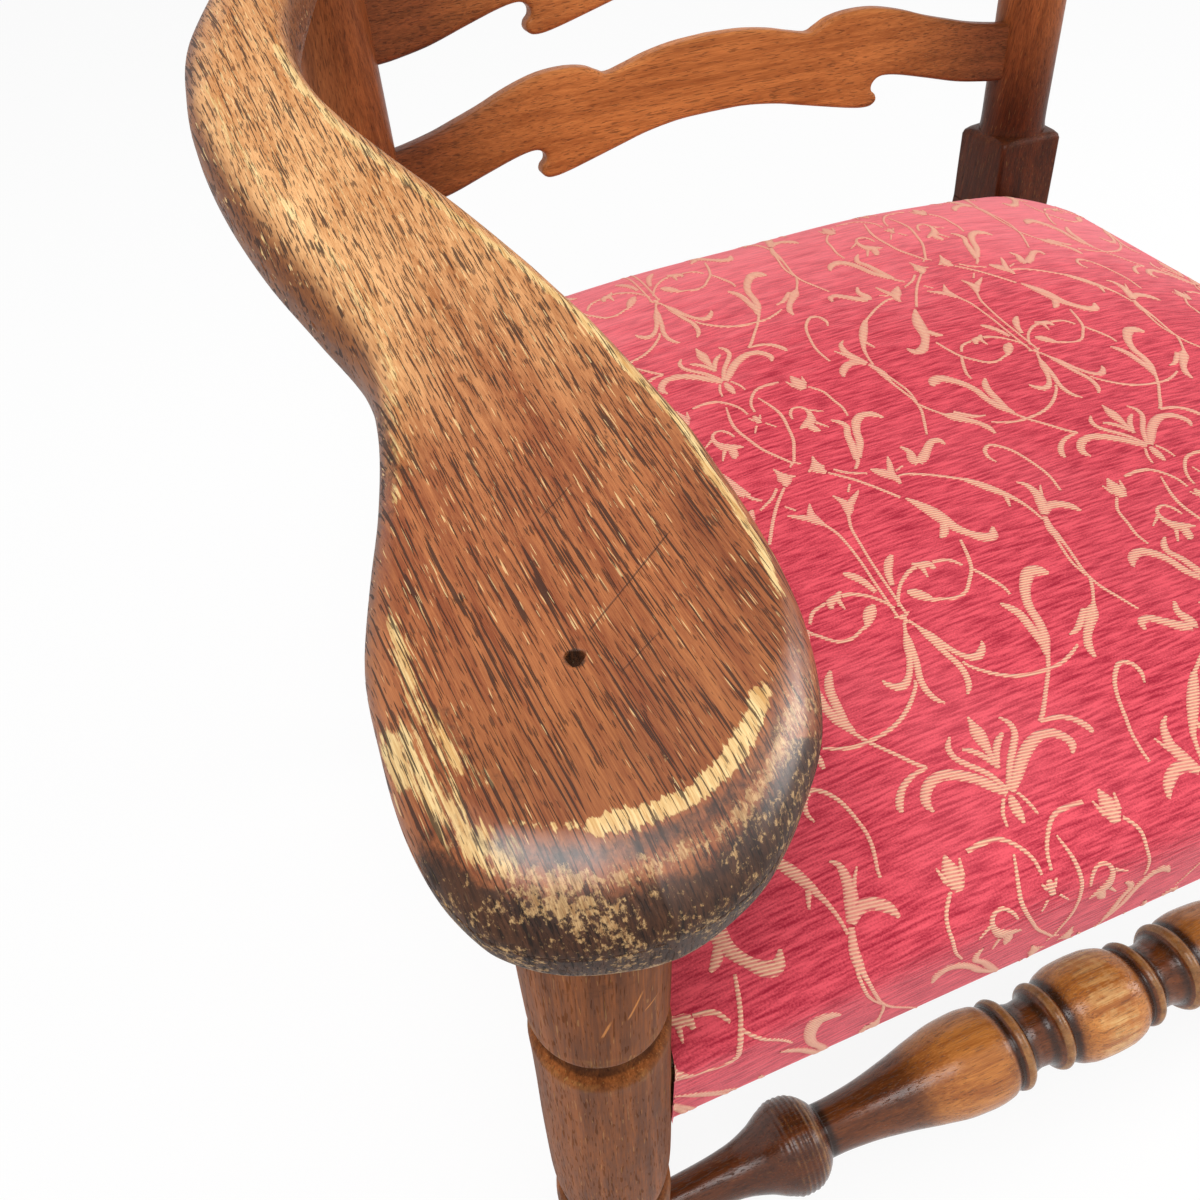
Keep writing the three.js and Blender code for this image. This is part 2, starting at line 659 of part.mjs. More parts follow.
const STUFFING_BOTTOM = RAIL_TOP + 3 * CLEARANCE + 2 * STRAP_THICKNESS;
const stuffingBlank = seatBody(COVER_THICKNESS + CLEARANCE, [[1.2, STUFFING_BOTTOM]]);
const stuffing = stuffingBlank.subtract(coverLegGap).subtract(coverLegGap.transform(mirror));
place('seat_stuffing', geometryOf(stuffing), hair);

// Arm: rounded sections across the sweep, coped to the post, bored for the leg's tenon
function armTop(y) {
  const t = THREE.MathUtils.smoothstep(y, ARM_RISE_START, ARM_RISE_END);
  return ARM_UNDERSIDE + ARM_FRONT_THICKNESS + ARM_RISE * t;
}

const ARM_END = postAxisY(ARM_TENON_HEIGHT) - ARM_END_INSET;
const ARM_STRETCH = ARM_END / ARM_PLAN[ARM_PLAN.length - 1][0];

// stations behind the leg stretch with the distance to the post
function armStation(y) {
  return y > 0 ? y * ARM_STRETCH : y;
}

function armSection([y, inner, outer]) {
  const t = THREE.MathUtils.smoothstep(y, ARM_RISE_START, ARM_RISE_END);
  const thickness = THREE.MathUtils.lerp(ARM_FRONT_THICKNESS, ARM_BACK_THICKNESS, t);
  const nose = ARM_NOSE.find(([at]) => at === y) ?? [y, 0, 0];
  const top = armTop(y) - thickness * nose[2];
  const bottom = armTop(y) - thickness * (1 - nose[1]);
  const half = (outer - inner) / 2;
  const height = top - bottom;
  const corner = (size) => [Math.min(size, half * 0.8), Math.min(size, height * 0.45)];
  const [topX, topZ] = corner(ARM_TOP_EDGE);
  const [lowX, lowZ] = corner(ARM_BOTTOM_EDGE);
  const line = LEFT_LEG.x + ((LEFT_POST.x - LEFT_LEG.x) * armStation(y)) / FRAME_DEPTH;
  const middle = line - (inner + outer) / 2;
  const points = [];
  for (let k = 0; k <= 4; k += 1) {
    const a = (Math.PI / 8) * k;
    points.push([half - topX + topX * Math.cos(a), top - topZ + topZ * Math.sin(a)]);
  }
  for (let k = 0; k <= 4; k += 1) {
    const a = Math.PI / 2 + (Math.PI / 8) * k;
    points.push([-half + topX + topX * Math.cos(a), top - topZ + topZ * Math.sin(a)]);
  }
  for (let k = 0; k <= 3; k += 1) {
    const a = Math.PI + (Math.PI / 6) * k;
    points.push([-half + lowX + lowX * Math.cos(a), bottom + lowZ + lowZ * Math.sin(a)]);
  }
  for (let k = 0; k <= 3; k += 1) {
    const a = Math.PI * 1.5 + (Math.PI / 6) * k;
    points.push([half - lowX + lowX * Math.cos(a), bottom + lowZ + lowZ * Math.sin(a)]);
  }
  return points.map(([x, z]) => new THREE.Vector3(middle + x, armStation(y), z));
}

const armBlank = solid(loft(ARM_PLAN.map(armSection).reverse()));
const legTenonHole = solid(pin(
  LEG_TENON_RADIUS + CLEARANCE,
  [LEFT_LEG.x, LEFT_LEG.y, ARM_UNDERSIDE - 10],
  [0, 0, 1],
  LEG_TENON_LENGTH + 10 + CLEARANCE,
));
const arm = armBlank
  .subtract(postUpper(CLEARANCE))
  .subtract(legTenonHole)
  .subtract(legBody(CLEARANCE))
  .add(armTenon(0));
const nailHole = solid(pin(
  NAIL_HOLE_RADIUS,
  [NAIL_HOLE_X, NAIL_HOLE_Y, armTop(NAIL_HOLE_Y) - NAIL_HOLE_DEPTH],
  [0, 0, 1],
  NAIL_HOLE_DEPTH + 5,
  8,
));
place('arm_left', geometryOf(arm.subtract(nailHole)), wornOak);
const rightArm = new THREE.Group();
rightArm.scale.x = -1;
chair.add(rightArm);
place('arm_right', geometryOf(arm), wornOak, rightArm);

// Front stretcher: half profile from the middle ball out to the socket end
const FRONT_END = FRONT_LEG_SPACING / 2 - SOCKET_STOP;
const FRONT_STRETCHER_HALF = [
  [0, 26],
  [9, 25.7],
  [17, 24],
  [23, 20.8],
  [24.2, 20.6],
  [26, 22],
  [30, 22.6],
  [33, 22],
  [35.5, 19.6],
  [39, 17.6],
  [43, 17.4],
  [47, 19],
  [50, 22],
  [53, 23.4],
  [55.5, 22.8],
  [57, 21.2],
  [63, 23.4],
  [72, 24.4],
  [84, 23.9],
  [100, 21.2],
  [118, 17.4],
  [140, 13.9],
  [156, 12.8],
  [161.5, 12.8],
  [163.5, 15.4],
  [168, 19.6],
  [174, 22],
  [180, 22.3],
  [187, 20],
  [196, 15.6],
  [208, 12.2],
  [222, 10.6],
  [236, 9.8],
  [FRONT_END - 18, SOCKET_END_RADIUS],
  [FRONT_END, SOCKET_END_RADIUS],
];
const frontProfile = [
  ...FRONT_STRETCHER_HALF.slice(1).reverse().map(([x, r]) => [-x, r]),
  ...FRONT_STRETCHER_HALF,
];
const frontStretcher = place('stretcher_front', turned(frontProfile, 16), darkOak);
frontStretcher.rotation.y = Math.PI / 2;
frontStretcher.position.z = FRONT_STRETCHER_HEIGHT;

function plainStretcher(length, radius) {
  const half = length / 2 - SOCKET_STOP;
  const profile = [
    [0, radius],
    [half * 0.3, radius - 0.6],
    [half * 0.62, radius - 2],
    [half * 0.9, SOCKET_END_RADIUS],
    [half, SOCKET_END_RADIUS],
  ];
  return turned([...profile.slice(1).reverse().map(([x, r]) => [-x, r]), ...profile], 12);
}

// Side and back stretchers: plain swelling rods
function sideStretcher(name, parent) {
  const rod = place(name, plainStretcher(SIDE_LENGTH, SIDE_STRETCHER_RADIUS), darkOak, parent);
  const middle = sidePoint(SIDE_LENGTH / 2, 0);
  rod.position.set(middle[0], middle[1], SIDE_STRETCHER_HEIGHT);
  const along = new THREE.Vector3(SIDE_ALONG.x, SIDE_ALONG.y, 0);
  rod.quaternion.setFromUnitVectors(new THREE.Vector3(0, 0, 1), along);
}

const rightSide = new THREE.Group();
rightSide.scale.x = -1;
chair.add(rightSide);
sideStretcher('stretcher_side_left', chair);
sideStretcher('stretcher_side_right', rightSide);
const backRod = plainStretcher(BACK_POST_SPACING, BACK_STRETCHER_RADIUS);
const backStretcher = place('stretcher_back', backRod, darkOak);
backStretcher.rotation.y = Math.PI / 2;
backStretcher.position.set(0, FRAME_DEPTH, BACK_STRETCHER_HEIGHT);

// Ladder slats: a bowed board cut to the wavy outline, with plain ends let into the posts
function slatGeometry() {
  const rings = [];
  const xs = [-SLAT_END - 2, -SLAT_SHOULDER];
  for (let i = 1; i < 12; i += 1) xs.push(-SLAT_SHOULDER + (i / 12) * 2 * SLAT_SHOULDER);
  xs.push(SLAT_SHOULDER, SLAT_END + 2);
  for (const x of xs) {
    const t = Math.min(Math.abs(x) / SLAT_SHOULDER, 1);
    const y = SLAT_BOW * (1 - t * t);
    const half = SLAT_THICKNESS / 2;
    const corners = [[y - half, -30], [y + half, -30], [y + half, 90], [y - half, 90]];
    rings.push(corners.map(([py, pz]) => new THREE.Vector3(x, py, pz)));
  }
  const board = solid(loft(rings));
  const end = [[SLAT_END, 0], [SLAT_END, SLAT_END_HEIGHT]];
  const shoulder = [[SLAT_SHOULDER - 1, 0]];
  const upperShoulder = [[SLAT_SHOULDER - 1, SLAT_END_HEIGHT]];
  const half = [...SLAT_LOWER_EDGE, ...shoulder, ...end, ...upperShoulder, ...SLAT_UPPER_EDGE];
  const crest = [[0, SLAT_UPPER_EDGE.at(-1)[1] + 1]];
  const other = half.slice(1).reverse().map(([x, z]) => [-x, z]);
  const outline = prism([...half, ...crest, ...other], -60, 60).rotateX(Math.PI / 2);
  return geometryOf(board.intersect(solid(outline)));
}

const back = new THREE.Group();
back.position.set(0, FRAME_DEPTH, BEND_HEIGHT);
back.rotation.x = -BACK_RAKE;
chair.add(back);
const slatShape = slatGeometry();
for (let i = 0; i < SLAT_COUNT; i += 1) {
  const slat = place(`slat_${i + 1}`, slatShape, oak, back);
  slat.position.z = SLAT_FIRST + i * SLAT_PITCH;
}

// Standing point: the middle of the whole box over the origin
const part = new THREE.Group();
part.add(chair);
part.updateMatrixWorld(true);
const box = new THREE.Box3().setFromObject(chair, true);
chair.position.y = -(box.min.y + box.max.y) / 2;

export default part;
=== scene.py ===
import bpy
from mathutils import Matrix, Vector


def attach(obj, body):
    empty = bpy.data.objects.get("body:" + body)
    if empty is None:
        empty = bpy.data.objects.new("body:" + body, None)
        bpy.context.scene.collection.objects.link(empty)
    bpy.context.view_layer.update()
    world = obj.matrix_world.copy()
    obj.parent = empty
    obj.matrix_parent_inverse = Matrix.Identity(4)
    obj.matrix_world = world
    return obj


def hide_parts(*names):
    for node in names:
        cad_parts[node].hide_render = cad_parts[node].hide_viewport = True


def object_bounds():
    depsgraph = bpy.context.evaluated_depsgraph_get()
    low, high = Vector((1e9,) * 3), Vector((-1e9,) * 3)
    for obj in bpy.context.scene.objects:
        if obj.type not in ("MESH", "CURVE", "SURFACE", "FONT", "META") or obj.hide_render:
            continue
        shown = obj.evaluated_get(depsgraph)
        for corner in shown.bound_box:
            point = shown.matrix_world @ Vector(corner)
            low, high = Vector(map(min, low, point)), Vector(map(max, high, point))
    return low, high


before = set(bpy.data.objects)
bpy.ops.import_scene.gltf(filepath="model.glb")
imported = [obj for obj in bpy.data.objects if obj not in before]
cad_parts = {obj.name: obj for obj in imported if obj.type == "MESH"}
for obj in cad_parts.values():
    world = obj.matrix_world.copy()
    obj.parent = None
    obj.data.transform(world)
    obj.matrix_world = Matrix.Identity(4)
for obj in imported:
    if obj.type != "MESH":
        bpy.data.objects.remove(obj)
cad_box = [list(corner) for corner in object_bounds()]

import math
from itertools import product

import bmesh
import bpy
import numpy as np
from mathutils import Matrix, Vector
from mathutils.bvhtree import BVHTree
from mathutils.geometry import delaunay_2d_cdt


# Front legs: oak, one turning each from the floor to the arm, with a dirty cove under the arm and another below the
# seat. The shaft is worn pale on the lips of the coves and scratched on the left leg; the top tenon is in the arm.
LEG_X = 270.0
LEG_PROFILE = [
    (0, 14), (4, 16), (80, 21.4), (110, 20), (120, 17), (128, 21.4), (136, 23.4), (300, 23.8), (312, 22.8),
    (320, 19.8), (326, 21.5), (354, 22.8), (400, 22.4), (452, 21.4), (472, 21.2), (477, 21.2), (480.5, 20.2),
    (484, 17.9), (487, 17), (490, 17.7), (492.4, 19.6), (495.5, 20.6), (511, 20.6), (556.7, 20.4),
]
LEG_LINE = cad_box[0][1] + 0.026


def smooth_profile(pairs, step):
    """A smooth line through the pairs that never swings past them, sampled about every step along the first value."""
    x, y = np.array(pairs, float).T
    gap = np.diff(x)
    rise = np.diff(y) / gap
    lean = np.zeros(len(x))
    for i in range(1, len(x) - 1):
        if rise[i - 1] * rise[i] > 0:
            a, b = 2 * gap[i] + gap[i - 1], gap[i] + 2 * gap[i - 1]
            lean[i] = (a + b) / (a / rise[i - 1] + b / rise[i])
    lean[0], lean[-1] = rise[0], rise[-1]
    count = [max(2, math.ceil(length / step) + 1) for length in gap]
    at = np.unique(np.concatenate([np.linspace(*run) for run in zip(x, x[1:], count)]))
    i = np.clip(np.searchsorted(x, at, side="right") - 1, 0, len(gap) - 1)
    t = (at - x[i]) / gap[i]
    value = (
        (2 * t**3 - 3 * t**2 + 1) * y[i]
        + (t**3 - 2 * t**2 + t) * gap[i] * lean[i]
        + (3 * t**2 - 2 * t**3) * y[i + 1]
        + (t**3 - t**2) * gap[i] * lean[i + 1]
    )
    return np.stack([at, value], 1)


def turning(pairs, step=1.5, sides=64):
    """Points and faces of a closed turning along +Z, with how far each point lies in a groove or on a ridge."""
    line = smooth_profile(pairs, step)
    span = 9
    padded = np.pad(line[:, 1], span, mode="edge")
    around = np.convolve(padded, np.ones(2 * span + 1) / (2 * span + 1), mode="valid")
    groove = np.clip((around - line[:, 1]) / 1.6, -1, 1)
    angle = np.arange(sides) * 2 * math.pi / sides
    radius = line[:, 1][:, None] * (1 + 0.003 * np.cos(2 * angle + line[:, 0][:, None] / 90))
    points = np.stack(
        [radius * np.cos(angle), radius * np.sin(angle), np.repeat(line[:, 0][:, None], sides, 1)], -1
    ).reshape(-1, 3)
    return points, tube_faces(len(line), sides), np.repeat(groove, sides)


def ring_faces(rows, sides):
    """The faces of an open tube of rings."""
    faces = []
    for r in range(rows - 1):
        for s in range(sides):
            t = (s + 1) % sides
            faces.append([r * sides + s, r * sides + t, (r + 1) * sides + t, (r + 1) * sides + s])
    return faces


def tube_faces(rows, sides):
    """The faces of a tube of rings that is closed at both ends."""
    last = (rows - 1) * sides
    return ring_faces(rows, sides) + [list(range(sides))[::-1], list(range(last, last + sides))]


def to_frame(points):
    """Millimetres from the floor under the leg axes to the frame's metres."""
    return np.asarray(points, float) / 1000 + [0, LEG_LINE, 0]


def in_scene(name, data):
    """A new object in the scene."""
    made = bpy.data.objects.new(name, data)
    bpy.context.scene.collection.objects.link(made)
    return made


def bell(distance, wide, power=2):
    """1 at no distance, falling away to nothing well beyond wide."""
    return np.exp(-((distance / wide) ** power))


def wear(count, **marks):
    """The marks that the oak finish reads, at each of count points; those not given are 0."""
    return {name: np.zeros(count) + marks.get(name, 0) for name in ("groove", "bare", "grime", "deep")}


def make_piece(name, points, faces, material, nodes, marks):
    """A smooth mesh piece in millimetres that rides on the chair, with its wear marks as point values."""
    mesh = bpy.data.meshes.new(name)
    mesh.from_pydata(to_frame(points).tolist(), [], [list(map(int, f)) for f in faces])
    skin = bmesh.new()
    skin.from_mesh(mesh)
    bmesh.ops.recalc_face_normals(skin, faces=skin.faces)
    skin.to_mesh(mesh)
    skin.free()
    mesh.polygons.foreach_set("use_smooth", [True] * len(mesh.polygons))
    for mark, values in marks.items():
        layer = mesh.attributes.new(mark, "FLOAT", "POINT")
        layer.data.foreach_set("value", np.asarray(values, np.float32))
    mesh.materials.append(material)
    piece = in_scene(name, mesh)
    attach(piece, "root")
    if nodes:
        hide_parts(*nodes)
    return piece


class Sock:
    """One output socket of a material. Sums on it add Math nodes to the same material."""

    def __init__(self, tree, out=None):
        self.tree = tree
        self.out = out

    def add(self, kind, settings=(), inputs=(), output=0):
        node = self.tree.nodes.new("ShaderNode" + kind)
        for key, value in dict(settings).items():
            setattr(node, key, value)
        for key, value in dict(inputs).items():
            if isinstance(value, Sock):
                self.tree.links.new(value.out, node.inputs[key])
            else:
                node.inputs[key].default_value = value
        return Sock(self.tree, node.outputs[output] if len(node.outputs) else None)

    def sum(self, operation, *values):
        return self.add("Math", {"operation": operation}, dict(enumerate(values)))

    def __add__(self, other):
        return self.sum("ADD", self, other)

    def __sub__(self, other):
        return self.sum("SUBTRACT", self, other)

    def __rsub__(self, other):
        return self.sum("SUBTRACT", other, self)

    def __mul__(self, other):
        return self.sum("MULTIPLY", self, other)

    __radd__ = __add__

    def ramp(self, low, high):
        """0 below low, 1 above high, smooth between."""
        return self.add("MapRange", {"interpolation_type": "SMOOTHSTEP"}, {0: self, 1: low, 2: high, 3: 0.0, 4: 1.0})

    def tint(self, base, colour):
        """base where this is 0, colour where it is 1."""
        return self.add("Mix", {"data_type": "RGBA"}, {0: self, 6: base, 7: colour}, 2)

    def stretch(self, factors):
        return self.add("VectorMath", {"operation": "MULTIPLY"}, {0: self, 1: factors})

    def shift(self, offset):
        return self.add("VectorMath", {"operation": "ADD"}, {0: self, 1: offset})

    def place(self):
        """The object's own coordinates."""
        return self.add("TexCoord", {}, {}, 3)

    def dot(self, way):
        return self.add("VectorMath", {"operation": "DOT_PRODUCT"}, {0: self, 1: way}, 1)

    def noise(self, detail=2.0, roughness=0.5, twist=0.0):
        look = {"Scale": 1.0, "Detail": detail, "Roughness": roughness, "Distortion": twist}
        return self.add("TexNoise", {}, {"Vector": self, **look})

    def mark(self, name, output=2):
        return self.add("Attribute", {"attribute_name": name}, {}, output)

    def finish(self, colour, roughness, height, depth, fixed):
        """The closing shader: colour, roughness and a bump of so many metres, with the fixed values set on it."""
        normal = self.add("Bump", {}, {"Strength": 1.0, "Distance": depth, "Height": height})
        links = {"Base Color": colour, "Roughness": roughness, "Normal": normal}
        shader = self.add("BsdfPrincipled", {}, {**fixed, **links})
        self.add("OutputMaterial", {}, {"Surface": shader})


def new_material(name):
    material = bpy.data.materials.new(name)
    material.use_nodes = True
    material.node_tree.nodes.clear()
    return material, Sock(material.node_tree)


def rgb(text):
    """A colour as a painter's hex code, in linear light."""
    parts = [int(text[i : i + 2], 16) / 255 for i in (0, 2, 4)]
    return [p / 12.92 if p <= 0.04045 else ((p + 0.055) / 1.055) ** 2.4 for p in parts] + [1.0]


def scratch(place, keep, start, end, wide):
    """1 along a thin scratch between two points in millimetres, seen along the axis that keep leaves out."""
    a, b = [Vector(to_frame(p)) * Vector(keep) for p in (start, end)]
    way, length = (b - a).normalized(), (b - a).length
    reach = place.stretch(keep).shift(-a)
    along = reach.dot(way)
    side = reach.add("VectorMath", {"operation": "CROSS_PRODUCT"}, {0: reach, 1: way})
    wander = (place.stretch((400, 400, 400)).noise(2.0) - 0.5) * 0.0004
    off = side.add("VectorMath", {"operation": "LENGTH"}, {0: side}, 1) + wander
    return off.ramp(wide / 1000, wide / 2500) * along.ramp(0, 0.002) * along.ramp(length, length - 0.004)


def oak(
    name, along, light, dark, deep="6b3319", gold="c98546", pore=0.6, fleck=0.3, worn="d8a660", gloss=0.4,
    shine=0.25, seed=0.0, scratches=(),
):
    """Stained oak with its grain along one axis: streaks, dark pores, pale flecks, worn ridges and dirty grooves."""
    material, start = new_material(name)
    place = start.place().shift((seed, seed * 0.7, seed * 1.3))

    def grain(across, lengthways):
        factors = [across] * 3
        factors[along] = lengthways
        return place.stretch(factors)

    broad = grain(34, 5).noise(3.0, 0.55, 0.4)
    streak = grain(240, 11).noise(3.0, 0.6)
    fibre = grain(1700, 70).noise(2.0, 0.6)
    pores = grain(1600, 130).noise(1.0, 0.4, 0.2)
    pore_mask = (pores + broad * 0.25).ramp(0.73, 0.80)
    flecks = grain(1500, 110).shift((3.1, 7.7, 1.9)).noise(1.0, 0.4)
    fleck_mask = (flecks + streak * 0.15).ramp(0.76, 0.80)
    tone = (broad * 0.5 + streak * 0.6 + fibre * 0.45 - 0.27).ramp(0.27, 0.76)
    colour = tone.tint(rgb(dark), rgb(light))
    # The deep mark darkens the wood and, below 0, turns it golden; on the posts and the front stretcher it also carries
    # painted shade.
    stain_and_shade = start.mark("deep") + (broad - 0.5) * 0.4 + (streak - 0.5) * 0.2
    colour = stain_and_shade.ramp(0.05, 1.0).tint(colour, tone.tint(rgb("2c1208"), rgb(deep)))
    colour = (0.0 - stain_and_shade).ramp(0.05, 1.0).tint(colour, tone.tint(rgb("9a5626"), rgb(gold)))
    colour = (pore_mask * pore).tint(colour, rgb("241209"))
    colour = (fleck_mask * fleck).tint(colour, rgb(worn))
    groove = start.mark("groove")
    mottle = place.stretch((210, 210, 210)).noise(5.0, 0.7)
    blotch = place.stretch((45, 45, 45)).noise(4.0, 0.6)
    bare = (start.mark("bare") * 1.2 + (streak - 0.5) * 0.7 + (mottle - 0.5) * 0.5).ramp(0.32, 0.62)
    ridge = ((0.0 - groove) * 1.3 + (mottle - 0.5) * 0.7).ramp(0.3, 0.9)
    # The grime mark darkens with dirt and, where pieces pass it so, with painted shade.
    grime = (start.mark("grime") * 1.2 + (mottle - 0.5) * 0.8 + (blotch - 0.5) * 0.5).ramp(0.3, 0.7)
    dirt = (groove * 1.2 + (mottle - 0.5) * 0.4).ramp(0.2, 0.9)
    colour = (ridge * 0.6).tint(colour, rgb(worn))
    colour = (bare * 0.85).tint(colour, fibre.ramp(0.3, 0.7).tint(rgb(worn), rgb("ecc88a")))
    colour = (dirt * 0.8).tint(colour, rgb("26140b"))
    colour = (grime * 0.85).tint(colour, rgb("2a1a11"))
    for start_at, end_at in scratches:
        nick = scratch(start.place(), (1, 0, 1), start_at, end_at, 0.5)
        colour = (nick * 0.7).tint(colour, rgb("d98c48"))
    roughness = gloss + bare * 0.15 + (fibre - 0.5) * 0.2 + (mottle - 0.5) * 0.15 + pore_mask * 0.2
    height = fibre * 0.25 + streak * 0.3 - pore_mask * 0.5 - bare * 0.2 + mottle * 0.2
    start.finish(colour, roughness, height, 0.0002, {"Specular IOR Level": shine})
    return material


LEG_NICKS = [
    ((-269, -20, 523), (-264, -20, 536.5)), ((-264.5, -20, 522), (-258.5, -17, 525)),
    ((-276, -20, 516), (-273, -20, 527)),
]
leg_oak = oak("leg_oak", 2, "9c592b", "592d10", pore=0.28, fleck=0.22, gloss=0.5, shine=0.06, scratches=LEG_NICKS)
leg_points, leg_faces, leg_groove = turning(LEG_PROFILE)
leg_groove = np.clip(leg_groove, -0.28, 0.55)
for side, sign in (("left", -1), ("right", 1)):
    placed = leg_points * [sign, 1, 1] + [sign * LEG_X, 0, 0]
    worn = np.where(leg_points[:, 2] < 12, 0.3, 0.0)
    # Darker just under the arm and at the foot.
    darker_top_and_foot = 0.28 * bell(leg_points[:, 2] - 546, 14) + 0.22 * bell(leg_points[:, 2], 60)
    name = "front_leg_" + side
    marks = wear(len(placed), groove=leg_groove, bare=worn, grime=darker_top_and_foot)
    make_piece(name + "_turned", placed, [f[::sign] for f in leg_faces], leg_oak, [name], marks)


# Back posts: oak, round below the seat, square at the seat where the rails join, then leaning back and round to the
# finial. The square's corners are rubbed and its shoulder holds grey dust.
POST_X, POST_Y, BEND = 220.0, 452.0, 411.0
RAKE = math.radians(7.27)
POST_LOWER = [(0, 14), (4, 16), (80, 19.5), (160, 20.5), (376, 20.5)]
POST_UPPER = [
    (44, 21.4), (50, 21.2), (54, 20.7), (64, 20.5), (531, 20.5), (539, 19), (545, 14.5), (550.8, 17.5), (555.1, 17.9),
    (560.8, 11), (568, 12), (578.1, 18.4), (588.2, 20), (599.7, 17), (609.8, 10), (617, 3.2),
]
# height along the axis from the bend, half width, corner radius
BLOCK_RINGS = [
    (-39, 20, 19.9), (-39, 21.2, 6), (-37.6, 22.6, 4), (-36, 23.2, 3), (-20, 23.25, 2.6), (-1, 23.25, 2.6),
    (1, 23.25, 2.6), (20, 23.25, 2.6), (44, 23.2, 2.8), (46.4, 22.6, 3.6), (48, 21.4, 6), (49, 20.6, 14),
    (49, 19, 18.9),
]


def rake(points):
    """Points measured from the bend of a post, leant back about it."""
    p = np.array(points, float)
    y, z = p[:, 1].copy(), p[:, 2].copy()
    p[:, 1] = y * math.cos(RAKE) + z * math.sin(RAKE) + POST_Y
    p[:, 2] = z * math.cos(RAKE) - y * math.sin(RAKE) + BEND
    return p


def block_ring(half, corner, z):
    """A square ring with round corners."""
    ring = []
    for q in range(4):
        middle = math.radians(45 + 90 * q)
        for k in range(9):
            a = middle + math.radians(-45 + 90 * k / 8)
            x = math.copysign(half - corner, math.cos(middle)) + corner * math.cos(a)
            y = math.copysign(half - corner, math.sin(middle)) + corner * math.sin(a)
            ring.append((x, y, z))
    return ring


def join_parts(parts):
    """The points, faces and marks of several parts as one mesh."""
    points, faces, marks = [], [], []
    for p, f, m in parts:
        base = sum(len(q) for q in points)
        points.append(np.asarray(p, float))
        faces += [[i + base for i in face] for face in f]
        marks.append(np.asarray(m, float))
    return np.vstack(points), faces, np.concatenate(marks)


post_oak = oak(
    "post_oak", 2, "a96134", "6e3a1d", deep="5e2b13", pore=0.4, fleck=0.1, gloss=0.36, shine=0.12, seed=1.7
)
for side, sign in (("left", -1), ("right", 1)):
    low_points, low_faces, low_groove = turning(POST_LOWER, 4)
    low_points = low_points + [0, POST_Y, 0]
    up_points, up_faces, up_groove = turning(POST_UPPER, 1.6)
    up_points = rake(up_points)
    rings, dusty = [], []
    for z, half, corner in BLOCK_RINGS:
        ring = np.array(block_ring(half, corner, z))
        rings.append(rake(ring) if z > 0 else ring + [0, POST_Y, BEND])
        dusty.append(np.full(len(ring), -0.22 if corner < 4 and abs(z - 46) < 3 else 0.25 if z > 47 else 0.0))
    points, faces, groove = join_parts([
        (low_points, low_faces, low_groove),
        (np.vstack(rings), tube_faces(len(rings), len(rings[0])), np.concatenate(dusty)),
        (up_points, up_faces, up_groove),
    ])
    groove = np.clip(groove, -0.3, 1)
    shade = 0.16 * bell(points[:, 2] - 462, 16) + 0.2 * bell(points[:, 2], 50)
    # Painted shade: the right post is darkened far more than the left from above the block down; below the seat both
    # posts are darkened alike.
    low_deep = np.clip((560 - points[:, 2]) / 90, 0, 1) * (0.95 if side == "right" else 0.1)
    low_deep += np.clip((370 - points[:, 2]) / 60, 0, 1) * (0.4 - low_deep)
    placed = points * [sign, 1, 1] + [sign * POST_X, 0, 0]
    name = "back_post_" + side
    marks = wear(len(points), groove=groove, grime=shade, deep=low_deep)
    make_piece(name + "_turned", placed, [f[::sign] for f in faces], post_oak, [name], marks)


# Ladder slats: six bowed oak boards sawn to a wavy outline with hooked notches, edges rounded by hand and let into
# slots in the posts. They are darker near the posts, along their edges and on the higher slats, and dirty close to the
# posts.
SLAT_LOWER = [
    (0, 13.2), (22, 12.8), (44, 10), (62, 6), (78, 2.4), (95, -1.2), (105, -2.6), (111, -2), (114, 1),
    (113.2, 4.5), (110.6, 7), (110.4, 10.5), (113.5, 13.8), (119, 14.8), (130, 13.2), (149, 8.6), (170, 3.4),
    (188, 0.8), (198.5, 0), (212.5, 0),
]
SLAT_UPPER = [
    (212.5, 33.6), (198.5, 33.6), (178, 36.6), (162, 40.5), (146, 44.8), (132, 49.4), (118, 53), (106, 54.8),
    (92, 54.8), (80, 52.8), (72, 49.2), (66, 47), (54, 49.4), (40, 52.8), (22, 55.4), (0, 56.4),
]
SLAT_FIRST, SLAT_PITCH, SLAT_COUNT = 83.5, 77.6, 6
SLAT_HALF, SLAT_BOW, SLAT_ROUND, SLAT_SHOULDER = 6.0, 17.0, 2.8, 199.5


def curve_through(rows, step):
    """A smooth curve through rows of numbers, about step apart."""
    p = np.array(rows, float)
    ends = np.vstack([2 * p[0] - p[1], p, 2 * p[-1] - p[-2]])
    out = []
    for a, b, c, d in zip(ends, ends[1:], ends[2:], ends[3:]):
        count = max(1, math.ceil(np.linalg.norm(c - b) / step))
        t = np.arange(count)[:, None] / count
        out.append(
            0.5 * (2 * b + (c - a) * t + (2 * a - 5 * b + 4 * c - d) * t**2 + (3 * b - a - 3 * c + d) * t**3)
        )
    return np.vstack(out + [p[-1:]])


